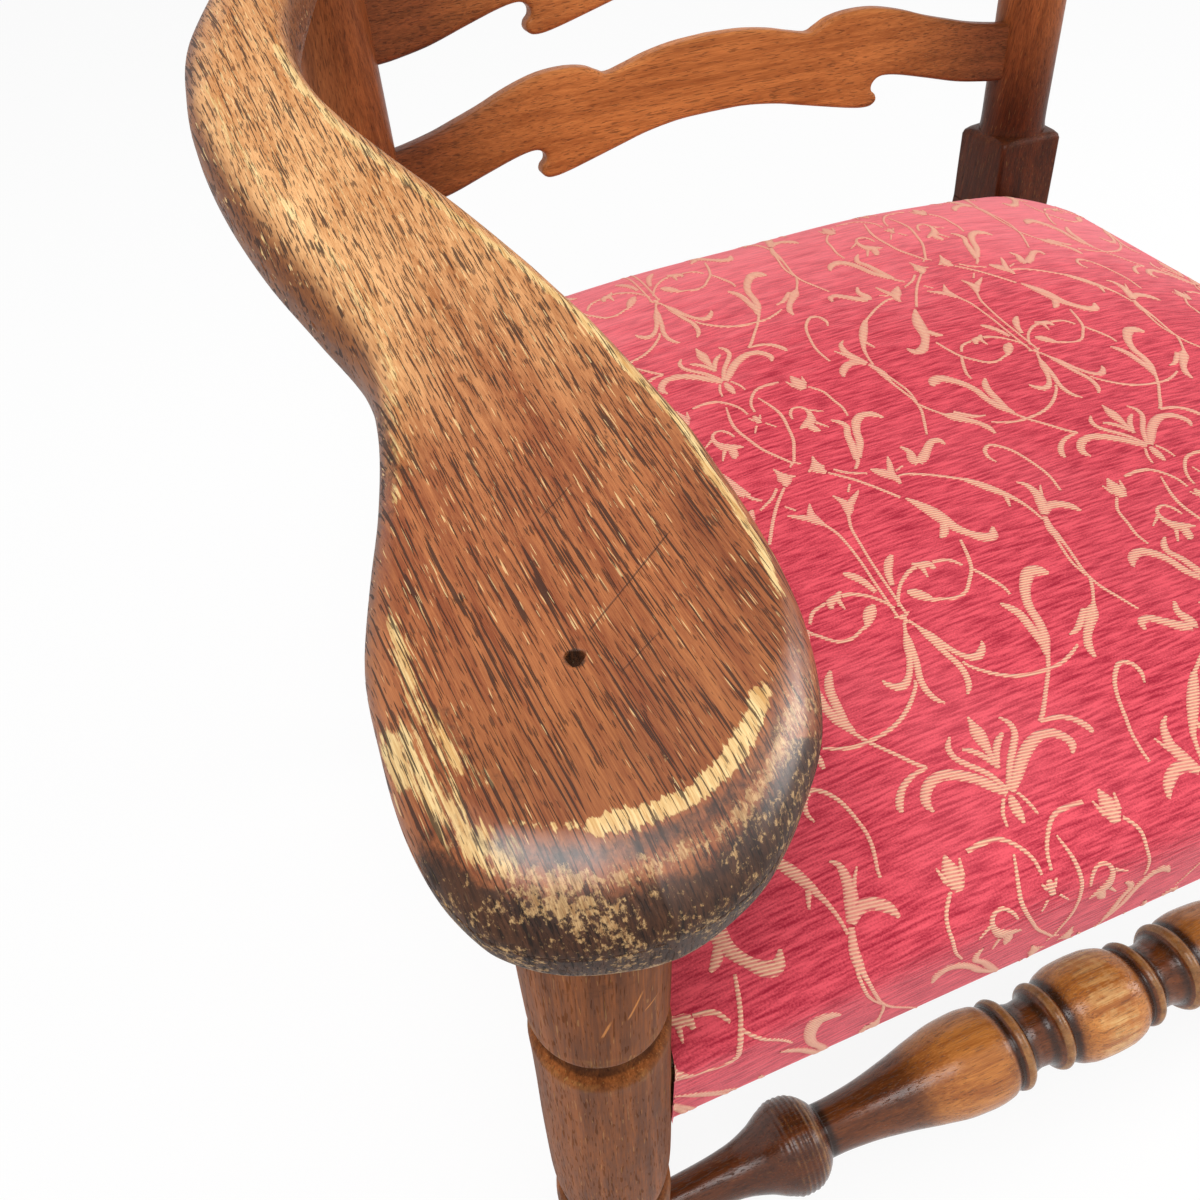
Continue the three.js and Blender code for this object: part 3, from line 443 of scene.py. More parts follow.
def slat_board():
    """Points and faces of one slat in the back's own plane, X across, Y through, Z up from its lower end corner."""
    lower = curve_through(SLAT_LOWER, 1.6)
    upper = curve_through(SLAT_UPPER, 1.6)
    right = np.vstack([lower, upper])
    outline = np.vstack([right, (right * [-1, 1])[::-1][1:-1]])
    ahead = np.roll(outline, -1, 0) - np.roll(outline, 1, 0)
    inward = np.stack([-ahead[:, 1], ahead[:, 0]], 1)
    inward /= np.maximum(np.linalg.norm(inward, axis=1), 1e-9)[:, None]
    for _ in range(2):
        inward = (np.roll(inward, 1, 0) + inward + np.roll(inward, -1, 0)) / 3
    rings = []
    for k in range(5):
        a = math.radians(22.5 * k)
        rings.append((SLAT_ROUND * (1 - math.sin(a)), SLAT_HALF - SLAT_ROUND * (1 - math.cos(a))))
    rings += [(inset, -y) for inset, y in rings[::-1]]
    points = []
    for inset, y in rings:
        flat = outline + inward * inset
        points.append(np.stack([flat[:, 0], np.full(len(flat), y), flat[:, 1]], 1))
    count = len(outline)
    faces = ring_faces(len(rings), count)
    face_line = outline + inward * SLAT_ROUND
    grid = np.array([(x, z) for x in np.arange(-204, 205, 6) for z in np.arange(2, 56, 5)], float)
    loop = [tuple(q) for q in face_line]
    keep = inside(grid[:, 0], grid[:, 1], loop) & (near_line(grid[:, 0], grid[:, 1], loop + loop[:1]) > 2.2)
    flat = [Vector(q) for q in face_line] + [Vector(q) for q in grid[keep]]
    found, _, tris, _, _, _ = delaunay_2d_cdt(flat, [(i, (i + 1) % count) for i in range(count)], [], 1, 1e-5)
    for y, ring, turn in ((SLAT_HALF, 0, 1), (-SLAT_HALF, len(rings) - 1, -1)):
        base = sum(len(p) for p in points) - count
        points.append(np.array([(q[0], y, q[1]) for q in found[count:]]))
        for t in tris:
            faces.append([ring * count + i if i < count else base + i for i in t][::turn])
    return np.vstack(points), faces, [tuple(q) for q in outline]


def inside(x, y, line):
    """True for the points that lie inside the closed line."""
    odd = np.zeros(len(x), bool)
    for (ax, ay), (bx, by) in zip(line, list(line[1:]) + [line[0]]):
        if ay != by:
            odd ^= ((ay > y) != (by > y)) & (x < ax + (y - ay) * (bx - ax) / (by - ay))
    return odd


def near_line(x, y, line):
    """How far each point lies from the line."""
    best = np.full(len(x), 1e9)
    for (ax, ay), (bx, by) in zip(line, line[1:]):
        t = np.clip(((x - ax) * (bx - ax) + (y - ay) * (by - ay)) / ((bx - ax) ** 2 + (by - ay) ** 2 + 1e-12), 0, 1)
        best = np.minimum(best, np.hypot(x - ax - t * (bx - ax), y - ay - t * (by - ay)))
    return best


slat_oak = oak(
    "slat_oak", 0, "d28446", "965428", deep="783c21", pore=0.45, fleck=0.05, gloss=0.4, shine=0.15, seed=3.1
)
board, board_faces, board_outline = slat_board()
board[:, 1] += SLAT_BOW * (1 - (board[:, 0] / SLAT_SHOULDER) ** 2)
board_edge = bell(near_line(board[:, 0], board[:, 2], board_outline), 2.4)
near_post = np.clip((np.abs(board[:, 0]) - 60) / 125, 0, 1)
for i in range(SLAT_COUNT):
    name = "slat_%d" % (i + 1)
    points = rake(board + [0, 0, SLAT_FIRST + i * SLAT_PITCH])
    dark = np.clip(near_post + 0.1 * i, 0, 1) * 0.85 + 0.1 * board_edge - 0.12
    marks = wear(len(points), grime=0.12 * near_post**3, deep=dark)
    make_piece(name + "_board", points, board_faces, slat_oak, [name], marks)


# Stretchers: the front one turned from end to end with ball, rings, vases and knobs; the sides and back plain rounds.
# All are oak, socketed into the legs and posts; ridges are rubbed pale and hollows hold dark polish. The front
# one's underside is also darkened, as painted shade.
FRONT_HALF = [
    (0, 26), (9, 25.7), (17, 24), (23, 20.8), (24.6, 20.2), (26.4, 21.8), (28.6, 22.6), (30.6, 21.8), (32.2, 19.2),
    (36, 17.3), (41, 16.9), (46, 18), (49, 19.2), (50.6, 22.2), (53, 23.4), (55.2, 22.8), (56.6, 21), (63, 23.4),
    (72, 24.4), (84, 23.9), (100, 21.2), (118, 17.4), (140, 13.9), (156, 12.8), (161.5, 12.8), (163.5, 15.4),
    (168, 19.6), (174, 22), (180, 22.3), (187, 20), (196, 15.6), (208, 12.2), (222, 10.6), (236, 9.8), (244, 9.5),
    (262, 9.5),
]
KNOB_AT, VASE_TOP = 177, 76
FRONT_Z, SIDE_Z, BACK_Z, PLAIN_R = 221.0, 150.0, 236.0, 14.0
SIDE_IN, BACK_IN = 12, 10


def lay_along(points, start, end):
    """A turning along +Z moved to lie from start towards end."""
    turn = Vector((0, 0, 1)).rotation_difference(Vector(end) - Vector(start)).to_matrix()
    return np.asarray(points) @ np.array(turn).T + np.asarray(start, float)


stretcher_oak = oak(
    "stretcher_oak", 0, "7f431b", "47210c", deep="562912", gold="df9349", pore=0.4, fleck=0.1, worn="dba465",
    gloss=0.24, shine=0.42, seed=5.3,
)
mirrored = [(-x, r) for x, r in FRONT_HALF[::-1]] + FRONT_HALF[1:]
points, faces, groove = turning(mirrored, 0.8, 72)
from_ball = np.abs(points[:, 2])
chatter = np.sin(points[:, 2] * 2.3) * bell(from_ball - KNOB_AT, 9, 4)
points[:, :2] *= (1 + 0.25 * chatter / 22)[:, None]
groove = np.clip(groove, -0.45, 1) * (1 - np.abs(chatter)) - 0.3 * chatter
paler = 0.35 * bell(points[:, 2], 17, 4) + 0.14 * bell(from_ball - VASE_TOP, 16, 4)
polish = np.clip((from_ball - 140) / 30, 0, 1) * 0.6 + np.clip(groove, 0, 1) * 0.6
polish -= bell(points[:, 2], 21, 4) + 0.75 * bell(from_ball - VASE_TOP - 8, 26, 4)
laid = lay_along(points, (0, 0, FRONT_Z), (1, 0, FRONT_Z))
# Painted shade: the underside of the front stretcher is darkened along with its dark polish.
under = (FRONT_Z - laid[:, 2]) / np.maximum(np.linalg.norm(points[:, :2], axis=1), 1)
polish += 0.75 * np.clip(under, -0.15, 1)
marks = wear(len(points), groove=groove, bare=paler, deep=polish)
make_piece("stretcher_front_turned", laid, faces, stretcher_oak, ["stretcher_front"], marks)


def plain_round(node, start, end, finish):
    """A plain stretcher, thickest at the middle and tapered to its ends."""
    length = (Vector(end) - Vector(start)).length
    half = [(0, 9.5), (8, 9.6), (40, 12.6)]
    line = half + [(length / 2, PLAIN_R)] + [(length - at, radius) for at, radius in half[::-1]]
    points, faces, _ = turning(line, 5, 40)
    marks = wear(len(points), grime=0.08, deep=0.2)
    make_piece(node + "_round", lay_along(points, start, end), faces, finish, [node], marks)


round_oak_across = oak("round_oak_across", 0, "8a522c", "5a3018", pore=0.4, fleck=0.1, gloss=0.38, seed=6.1)
round_oak_back = oak("round_oak_back", 1, "8a522c", "5a3018", pore=0.4, fleck=0.1, gloss=0.38, seed=6.7)
side_run = Vector((POST_X - LEG_X, POST_Y, 0)).normalized()
for side, sign in (("left", -1), ("right", 1)):
    near = (sign * (LEG_X + side_run.x * SIDE_IN), side_run.y * SIDE_IN, SIDE_Z)
    far = (sign * (POST_X - side_run.x * SIDE_IN), POST_Y - side_run.y * SIDE_IN, SIDE_Z)
    plain_round("stretcher_side_" + side, near, far, round_oak_back)
back_end = POST_X - BACK_IN
plain_round("stretcher_back", (-back_end, POST_Y, BACK_Z), (back_end, POST_Y, BACK_Z), round_oak_across)


# Seat rails and corner blocks: plain sawn beech, tenoned into the legs and posts or glued into the corners. They are
# stained brown without polish because the cover hides all but their back ends, and they are dull with dust.
def dress(name, material):
    """The finish of a piece that shows as its own solid."""
    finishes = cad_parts[name].data.materials
    finishes.clear()
    finishes.append(material)


def beech(name, along):
    """Stained beech with its fibre along one axis."""
    material, start = new_material(name)
    place = start.place()
    factors = [260.0] * 3
    factors[along] = 14.0
    fibre = place.stretch(factors).noise(3.0, 0.6)
    saw = place.stretch((90, 90, 90)).noise(4.0, 0.65)
    dust = place.stretch((11, 11, 11)).noise(3.0)
    colour = fibre.ramp(0.3, 0.7).tint(rgb("6b4022"), rgb("8f5c34"))
    colour = (dust.ramp(0.45, 0.75) * 0.45).tint(colour, rgb("6e5540"))
    start.finish(colour, 0.7 + saw * 0.15, fibre * 0.6 + saw * 0.4, 0.0004, {"Specular IOR Level": 0.3})
    return material


rail_beech = [beech("rail_beech_across", 0), beech("rail_beech_back", 1)]
for name in ("seat_rail_front", "seat_rail_back", "seat_rail_left", "seat_rail_right", "corner_block_front_left",
             "corner_block_front_right", "corner_block_back_left", "corner_block_back_right"):
    dress(name, rail_beech[1 if name.endswith(("rail_left", "rail_right")) else 0])


# Webbing and stuffing: jute straps tacked over the rails, four one way and three across, under a pad of teased hair
# in brown lining. Only the underside shows them, and they keep the shapes of their solids.
def jute(name, along):
    """Woven jute, striped along its length."""
    material, start = new_material(name)
    place = start.place()
    warp_line, weft_line = ([float(k == axis) for k in range(3)] for axis in (1 - along, along))
    slow = place.stretch((60, 60, 60)).noise(3.0)
    run = place.dot(warp_line)
    beat = place.dot(weft_line)
    warp = run.sum("SINE", run * 2400.0 + slow * 2.0)
    weft = run.sum("SINE", beat * 1500.0 + slow * 2.0)
    weave = (warp * weft * 0.5 + 0.5).ramp(0.1, 0.9)
    stripe = run.sum("SINE", run * 130.0).ramp(0.8, 0.95)
    colour = weave.tint(rgb("7d6140"), rgb("c2a273"))
    colour = (stripe * 0.6).tint(colour, rgb("4b3524"))
    start.finish(colour, 0.85 + slow * 0.1, weave + slow * 0.3, 0.0005, {"Specular IOR Level": 0.15})
    return material


for run, along, count in (("long", 1, 4), ("cross", 0, 3)):
    strap = jute("jute_" + run, along)
    for i in range(count):
        dress("webbing_%s_%d" % (run, i + 1), strap)
lining, start = new_material("stuffing_lining")
place = start.place()
tuft = place.stretch((130, 130, 130)).noise(6.0, 0.75, 1.0)
strand = place.stretch((900, 120, 900)).noise(2.0)
start.finish(
    (tuft * 0.7 + strand * 0.3).ramp(0.3, 0.7).tint(rgb("5a4632"), rgb("a48a66")),
    0.9 + tuft * 0.08,
    tuft + strand * 0.4,
    0.002,
    {"Sheen Weight": 0.2},
)
dress("seat_stuffing", lining)


# Seat cover: ribbed chenille drawn tight over the stuffing, rolled over the edge of the rails and turned under them.
# It is cut round the front legs. The pile is painted paler pink along its lower edge, towards the back and towards
# the right, as painted sheen and light.
SEAT_FRONT, SEAT_BACK, SEAT_OUT, WALL_TOP = -10.0, 427.0, 4.0, 427.0
ROLL_IN, CROWN_AT = 44.0, (0.0, 215.0)
CROWN_EDGE, CROWN_MORE, CROWN_FALL = 22, 9, 21
ROLL = [(0, 0), (0.035, 0.3), (0.115, 0.55), (0.25, 0.75), (0.45, 0.89), (0.72, 0.97), (1, 1)]
WALL = [
    (16, 383.2), (5, 383.2), (2.2, 383.7), (0.8, 385), (0.2, 387), (0, 390), (-0.3, 396), (-0.5, 402),
    (-0.5, 408), (-0.5, 414), (-0.3, 419), (-0.1, 423),
]
LEG_CUT = 23.0


def seat_half(y):
    """Half the width of the seat at a distance behind the leg axes, along the line from leg to post."""
    length = math.hypot(LEG_X - POST_X, POST_Y)
    out_x, out_y = SEAT_OUT * POST_Y / length, SEAT_OUT * (LEG_X - POST_X) / length
    return LEG_X - (LEG_X - POST_X) * (y - out_y) / POST_Y + out_x


def seat_ring(inset):
    """The seat's plan set in by a distance, with round corners, as points in a fixed order."""
    front, back = SEAT_FRONT + inset, SEAT_BACK - inset
    slope = (LEG_X - POST_X) / POST_Y
    splay = math.degrees(math.atan(slope))
    turns = [(1, front, 6, 6, -90, splay), (1, back, 50, 18, splay, 90), (-1, back, 50, 18, 90, 180 - splay),
             (-1, front, 6, 6, 180 - splay, 270)]
    arcs = []
    for side, edge, size, steps, begin, end in turns:
        radius = max(size - 0.5 * inset, 4)
        y = edge + (radius if edge == front else -radius)
        x = side * (seat_half(y) - (inset + radius) * math.hypot(1, slope))
        a = np.radians(np.linspace(begin, end, steps + 1))
        arcs.append(np.stack([x + radius * np.cos(a), y + radius * np.sin(a)], 1))
    ring = []
    for n, runs in enumerate((110, 92, 124, 110)):
        ring.append(arcs[n])
        t = np.linspace(0, 1, runs + 1)[1:-1, None]
        ring.append(arcs[n][-1] * (1 - t) + arcs[(n + 1) % 4][0] * t)
    return np.vstack(ring)


def seat_height(x, y, lift):
    """The height of the stuffed top, crowned and a little slack, for a share of the crown."""
    u = np.clip(np.abs(x) / seat_half(y), 0, 1)
    v = (y - (SEAT_FRONT + SEAT_BACK) / 2) / ((SEAT_BACK - SEAT_FRONT) / 2)
    crown = CROWN_EDGE + CROWN_MORE * (1 - u**2) * (1 - 0.45 * v**2) - CROWN_FALL * u**3.5
    slack = 0.7 * np.sin(x / 61 + 0.6) * np.sin(y / 53) + 0.5 * np.sin(x / 23 + y / 37)
    return WALL_TOP + lift * (crown + slack)


roll_line = smooth_profile(ROLL, 0.02)
levels = []
for inset, z in WALL:
    ring = seat_ring(inset)
    levels.append(np.column_stack([ring, np.full(len(ring), z)]))
for share, lift in roll_line:
    ring = seat_ring(share * ROLL_IN)
    levels.append(np.column_stack([ring, seat_height(ring[:, 0], ring[:, 1], lift)]))
rim = len(levels) - 1
middle = np.array(CROWN_AT)
for share in np.linspace(0, 1, 60)[1:-1]:
    ring = levels[rim][:, :2] * (1 - share) + middle * share
    levels.append(np.column_stack([ring, seat_height(ring[:, 0], ring[:, 1], 1.0)]))
outward = levels[len(WALL)][:, :2] - levels[rim][:, :2]
outward /= np.linalg.norm(outward, axis=1)[:, None]
flat_cloth = [level[:, :2].copy() for level in levels]
run = np.zeros(len(outward))
for k in range(rim - 1, -1, -1):
    run = run + np.linalg.norm(levels[k] - levels[k + 1], axis=1)
    flat_cloth[k] = levels[rim][:, :2] + outward * run[:, None]
points = np.vstack(levels + [np.append(middle, seat_height(middle[:1], middle[1:], 1.0))[None]])
flat_cloth = np.vstack(flat_cloth + [middle[None]])
sides = len(outward)
faces = ring_faces(len(levels), sides)
last = (len(levels) - 1) * sides
faces += [[last + s, last + (s + 1) % sides, len(points) - 1] for s in range(sides)]
for sign in (-1, 1):
    reach = points[:, :2] - [sign * LEG_X, 0]
    far = np.linalg.norm(reach, axis=1)
    cut = far < LEG_CUT
    faces = [f for f in faces if not all(cut[i] for i in f)]
    points[cut, :2] = [sign * LEG_X, 0] + reach[cut] / np.maximum(far[cut], 1e-6)[:, None] * LEG_CUT
used = np.unique(np.concatenate([np.array(f) for f in faces]))
renumber = np.full(len(points), -1)
renumber[used] = np.arange(len(used))
points, flat_cloth = points[used], flat_cloth[used]
faces = [[int(renumber[i]) for i in f] for f in faces]

chenille, start = new_material("chenille")
cloth = start.mark("cloth", 1)
rib = cloth.stretch((75, 760, 1)).noise(2.0, 0.5)
slub = cloth.stretch((30, 190, 1)).noise(3.0, 0.6)
nap = cloth.stretch((1300, 1300, 1300)).noise(3.0, 0.65)
patch = cloth.stretch((9, 9, 9)).noise(3.0)
paler = start.mark("paler")
tone = (rib * 0.9 + slub * 0.32 + nap * 0.55 - 0.385).ramp(0.24, 0.72)
colour = tone.tint(rgb("a01a33"), rgb("ea5866"))
colour = (patch.ramp(0.45, 0.75) * 0.2).tint(colour, rgb("f27882"))
# The pale pink mixed in here is painted sheen and light, carried by the seat cover's mark.
colour = ((paler + (slub - 0.5) * 0.5).ramp(0.1, 0.9) * 0.66).tint(colour, rgb("ff969d"))
start.finish(
    colour,
    0.8 + nap * 0.12,
    rib * 0.7 + nap * 0.3,
    0.0007,
    {"Specular IOR Level": 0.2, "Sheen Weight": 0.35, "Sheen Roughness": 0.4, "Sheen Tint": rgb("ffb8bc")},
)


def on_flat(piece, places):
    """Gives each point of a piece its place on the flat cloth, for the weave to follow."""
    layer = piece.data.attributes.new("cloth", "FLOAT_VECTOR", "POINT")
    layer.data.foreach_set("vector", np.asarray(places, float).ravel() / 1000)


# Painted sheen: paler pink along the lower edge and towards the back, where the pile catches the light at a glancing
# angle.
painted_sheen = np.clip((392 - points[:, 2]) / 9, 0, 1) * 0.7 + np.clip((points[:, 1] - 230) / 190, 0, 1) * 0.75
# Painted light on the right of the seat.
painted_sheen = painted_sheen + np.clip((points[:, 0] - 110) / 160, 0, 1) * 0.3
cover = make_piece("seat_cover_cloth", points, faces, chenille, ["seat_cover"], {"paler": painted_sheen})
on_flat(cover, np.column_stack([flat_cloth, np.zeros(len(points))]))


# Figure in the cloth: a traditional scrolling vine woven in tan yarn, flat beside the pile. One half of the repeat is
# drawn as strokes of varying width and mirrored; each second column drops half a repeat.
FIGURE_X, FIGURE_Y, COLUMN, REPEAT = -83.7, 35.0, 160.5, 261.0
FIGURE_LOW, FIGURE_FRONT, FIGURE_BACK, FIGURE_SIDE = 386, -80, 520, 345
FIGURE_DRIFT = [(-90, -24), (20, -17), (35, -13.5), (55, -10.5), (95, -6), (135, -3.5), (155, -2), (215, 0), (600, 0)]
# across from the column's axis, up from the palmette's foot, width of the stroke
STROKES = [
    [(0, 1, 2.5), (0, 8, 3.2), (0, 14, 6), (0, 18, 6.5), (0, 21.5, 3.5), (0, 25, 1)],
    [(0.5, 3, 2.5), (3, 8, 3.2), (6, 11.5, 3), (9, 13.5, 1.6)],
    [(0, -8, 2.5), (5, 1, 3), (10.5, 7.5, 3.2), (13.5, 12, 3), (13.5, 16.5, 2.8), (11, 20, 1.2)],
    [(1, -9, 3), (5, -4.5, 5), (11, 1.5, 5.5), (17, 5.5, 5.5), (22, 7, 5), (27, 6, 5), (30.5, 2.5, 4.5), (31.5, -1, 4),
     (30, -4.5, 1.2)],
    [(25, 12, 1.5), (31, 11.5, 2.5), (36.5, 9, 3), (40, 5, 3.5), (41.5, 1.5, 3), (41, 0, 1.2)],
    [(0, -10, 2), (0, -13, 4.5), (0, -17, 4.5), (0, -21, 1.2)],
    [(3, -10, 1.6), (5.5, -15, 1.8), (6.5, -20, 1.2)],
    [(2, 222, 1.5), (3, 228, 1.8), (6.5, 234, 2), (11.5, 238.5, 2.2), (17.5, 239.5, 2.5), (24.5, 239, 2)],
    [(33, 228, 4), (33, 232, 8.5), (33, 236, 7), (32.5, 241, 1.2)],
    [(30, 232, 3), (28, 238, 0.9)],
    [(36, 232, 3), (37.5, 238, 0.9)],
    [(36, 229, 1.5), (37.5, 227.5, 1.8), (41, 222, 1.8), (42, 214, 1.8), (43, 207, 1.8), (42, 200, 1.4)],
    [(0, 179, 1.8), (5, 188, 2), (8.5, 195, 2), (10.5, 203, 2), (12.5, 213, 2.2), (12, 221, 2), (9, 232, 1.1)],
    [(0, 213, 3), (0, 217, 4), (0, 219.5, 2)],
    [(1.5, 216, 2.2), (3.2, 219, 0.9)],
    [(2.5, 212, 1.5), (6, 207, 1.1)],
    [(16, 209, 1.3), (17, 213, 2), (20, 216.5, 2), (24, 216, 2), (26, 212.5, 2.5), (25.5, 208, 4), (23, 204, 6.5),
     (18.5, 202, 4), (15.5, 200.5, 1.2)],
    [(21, 202, 5), (22, 197.5, 5), (23.5, 195, 2)],
    [(25, 202, 2.5), (29, 196, 1.1)],
    [(27, 212, 2), (33, 208, 0.9)],
    [(0, 180, 1.8), (3, 177.5, 1.2)],
    [(10.5, 180, 1), (9.5, 176, 3.5), (8.8, 172, 8.5), (9.5, 169, 5.5), (11, 167, 2)],
    [(6, 172, 3), (3.3, 171, 1)],
    [(11.5, 166.5, 1.6), (14, 164, 1.8), (20, 157.5, 2), (26, 149.5, 2), (33.5, 138, 2)],
    [(15, 167.5, 1.8), (19.5, 163, 2), (24, 160.5, 1.8), (28, 158.5, 1.4)],
    [(24.5, 163.5, 1.8), (27.5, 166.5, 2.2), (29, 169, 2.5)],
    [(28.5, 169, 3.5), (31.5, 178, 4.5), (34, 187, 4), (37, 193, 3.8), (35.5, 197.5, 3.5), (32.5, 200.5, 1.2)],
    [(30, 170, 3.5), (36.5, 180, 4.5), (39.5, 188, 4.5), (43.5, 194.5, 5.5), (48.5, 197.5, 5.5), (53.5, 196, 5),
     (57, 191.5, 1.6)],
    [(38.5, 146, 1.5), (38.5, 150, 4.5), (36.5, 154, 7), (34, 157, 6), (31, 160.5, 1.8)],
    [(38, 153, 4.5), (41.5, 161, 3), (43, 165, 1)],
    [(41, 154.5, 1.5), (46, 156.5, 1.3)],
    [(52.5, 169, 1.8), (54.5, 164, 4), (53, 158.5, 6), (54, 155, 5)],
    [(54, 155.5, 5), (58.5, 158, 6), (63, 162, 5), (68, 166, 4.5), (72, 165.5, 4), (73, 161.5, 1.6)],
    [(40, 151, 1.6), (45, 150.5, 2), (54, 146, 2), (60, 142, 2), (65.5, 138, 2), (67.5, 136.5, 2.5)],
    [(67, 137, 3), (71, 132, 5), (74.5, 127, 5.5), (78, 121.5, 4.5), (80, 118, 3.5), (82, 114, 2.5), (84, 107, 1.8),
     (85, 100, 1.6)],
    [(78, 119, 3), (76, 113, 1.2)],
    [(2, 78, 1.6), (2, 100, 1.6), (2, 110, 1.6), (2.5, 120, 1.6), (3.5, 130, 1.8), (6, 137, 2), (7, 140, 3)],
    [(6.5, 138, 2.5), (8.5, 142, 6), (8.5, 146, 4.5), (6, 152, 0.9)],
    [(9, 142.5, 4.5), (12.5, 145.5, 4), (16, 148, 2.5), (18.5, 150, 0.9)],
    [(13.5, 151, 1.4), (17, 155.5, 1.4)],
    [(35.5, 136.5, 1.6), (38.5, 131, 5), (41.5, 124.5, 7.5), (43.5, 118, 7.5), (45.5, 112, 6), (49.5, 106, 5),
     (54, 101.5, 6.5), (58.5, 100.5, 6), (61.5, 105, 1.6)],
    [(42.5, 115, 4.5), (39.5, 110.5, 4.5), (36.5, 108.5, 1.6)],
    [(4, 94, 2.5), (6, 101, 4), (9, 106, 4.5), (12, 109, 2)],
    [(17.5, 101, 1.6), (20.5, 98.5, 4.5), (24, 97.5, 4.5), (25, 94, 2)],
    [(20.5, 97, 3), (20, 91.5, 1)],
    [(1, 83, 1.6), (3.5, 88, 1.8), (8, 93.5, 2), (14, 97.5, 2.5), (18, 98.5, 2.5)],
    [(8, 88.5, 2), (10.5, 86.5, 6), (13.5, 83, 5.5), (16, 80, 2.5), (18.5, 79.3, 1.8), (24.5, 77, 2), (30.5, 78, 2),
     (35.5, 83, 2), (39.5, 88, 2), (42, 95, 2), (44, 104, 1.6)],
    [(26, 98, 1.8), (33, 96, 2.2), (37, 91, 1.6)],
    [(39.5, 87.5, 1.8), (43, 81, 2.2), (46, 74, 2), (46.5, 69, 1.4)],
    [(0, 74, 2.5), (0, 79, 2.5)],
    [(0, 77, 2), (3.5, 79, 0.9)],
    [(1, 75, 1.8), (3, 70.5, 2), (5, 64.5, 5), (8, 58, 3.5), (11.5, 52, 3), (15, 48.5, 4), (18.5, 48, 4.5), (22, 51, 3),
     (23, 53.5, 0.9)],
    [(4.5, 64, 3.5), (6.5, 55, 3.2), (8.7, 48, 3.2), (9, 42, 3.2), (7.5, 37, 2.8), (5, 34, 1.2)],
    [(11, 48, 1.6), (12.5, 45, 1.8), (19, 38.5, 2.2), (26, 34, 2.2), (33, 31.8, 2.2), (39, 31.2, 2), (46, 31.2, 2),
     (52, 33, 2), (58, 36, 1.4)],
    [(45, 39, 2.6), (44, 36.5, 2.2), (40, 30, 2), (34, 22.5, 2), (28.5, 15.5, 2.2), (25, 12, 2.2)],
    [(44, 37, 3), (45.7, 41.5, 5), (47.7, 45, 5), (49.5, 52, 4.5), (50, 60, 4.5), (52.7, 67, 5), (56.7, 72.5, 6),
     (61, 76, 7), (65, 75, 7), (68, 72, 2)],
    [(45.5, 42, 4.5), (45, 51, 4.5), (44.5, 58, 4.5), (42.5, 63, 4), (40, 66.5, 1.6)],
    [(61, 28, 1.6), (61.5, 33, 4), (64, 38, 4), (68, 42.5, 5), (72, 47, 7), (75.5, 50.5, 2.5), (77.5, 53.5, 1.6),
     (80.5, 58.5, 1.9), (82.5, 63, 1.6)],
    [(57.5, 41.5, 1.2), (62, 42.5, 3), (66.5, 46, 3.5), (70.5, 50, 3)],
    [(73.5, 232, 2.5), (75.5, 226, 4), (76, 221, 4.5), (75.8, 214, 2), (77, 205, 1.8), (78, 197, 1.8), (77, 189, 1.8),
     (73, 180, 1.8), (69, 171.5, 1.3)],
    [(77, 220, 1.6), (79.5, 205, 1.6), (78.5, 195, 1.4)],
    [(72.5, 256, 1.2), (69.5, 253, 3), (68.3, 246, 5), (70, 239.5, 6), (73, 233, 4)],
    [(56.5, 228.5, 1.8), (59, 233, 5), (64, 236.5, 5.5), (69, 236.5, 5.5), (73, 233, 3.5)],
    [(67, 244, 2.5), (63.5, 250, 0.9)],
    [(57, -18, 1.5), (56, -6, 1.8), (58, 5, 1.8), (60.5, 13, 2), (64, 18.5, 2.2), (68.5, 22, 2.5), (72.5, 20, 2.5),
     (74, 15, 2.2), (72.5, 10.5, 1)],
]
ACROSS = [(-1, -0.25), (-0.8, 0.2), (0, 0.32), (0.8, 0.2), (1, -0.25)]

flattened = BVHTree.FromPolygons([(p[0], p[1], 0.0) for p in flat_cloth], faces)
corner_points = [[Vector(points[i]) for i in f] for f in faces]
drift_y, drift_x = np.array(FIGURE_DRIFT, float).T


def on_cloth(u, v, lift):
    """The point of the seat under a place on the flat cloth, raised off it, or None beyond the cloth's edge."""
    hit = flattened.ray_cast(Vector((u, v, 5)), Vector((0, 0, -1)))
    if hit[2] is None:
        return None
    ids = faces[hit[2]]
    solid = corner_points[hit[2]]
    for trio in ((0, 1, 2), (0, 2, 3))[: len(ids) - 2]:
        a, b, c = (flat_cloth[ids[k]] for k in trio)
        area = (b[0] - a[0]) * (c[1] - a[1]) - (c[0] - a[0]) * (b[1] - a[1])
        if abs(area) < 1e-9:
            continue
        s = ((u - a[0]) * (c[1] - a[1]) - (c[0] - a[0]) * (v - a[1])) / area
        t = ((b[0] - a[0]) * (v - a[1]) - (u - a[0]) * (b[1] - a[1])) / area
        if s > -1e-3 and t > -1e-3 and s + t < 1.002:
            p, q, r = (solid[k] for k in trio)
            normal = (q - p).cross(r - p).normalized()
            place = p + (q - p) * s + (r - p) * t
            if place.z < FIGURE_LOW or normal.length < 0.5:
                return None
            return place + normal * lift
    return None


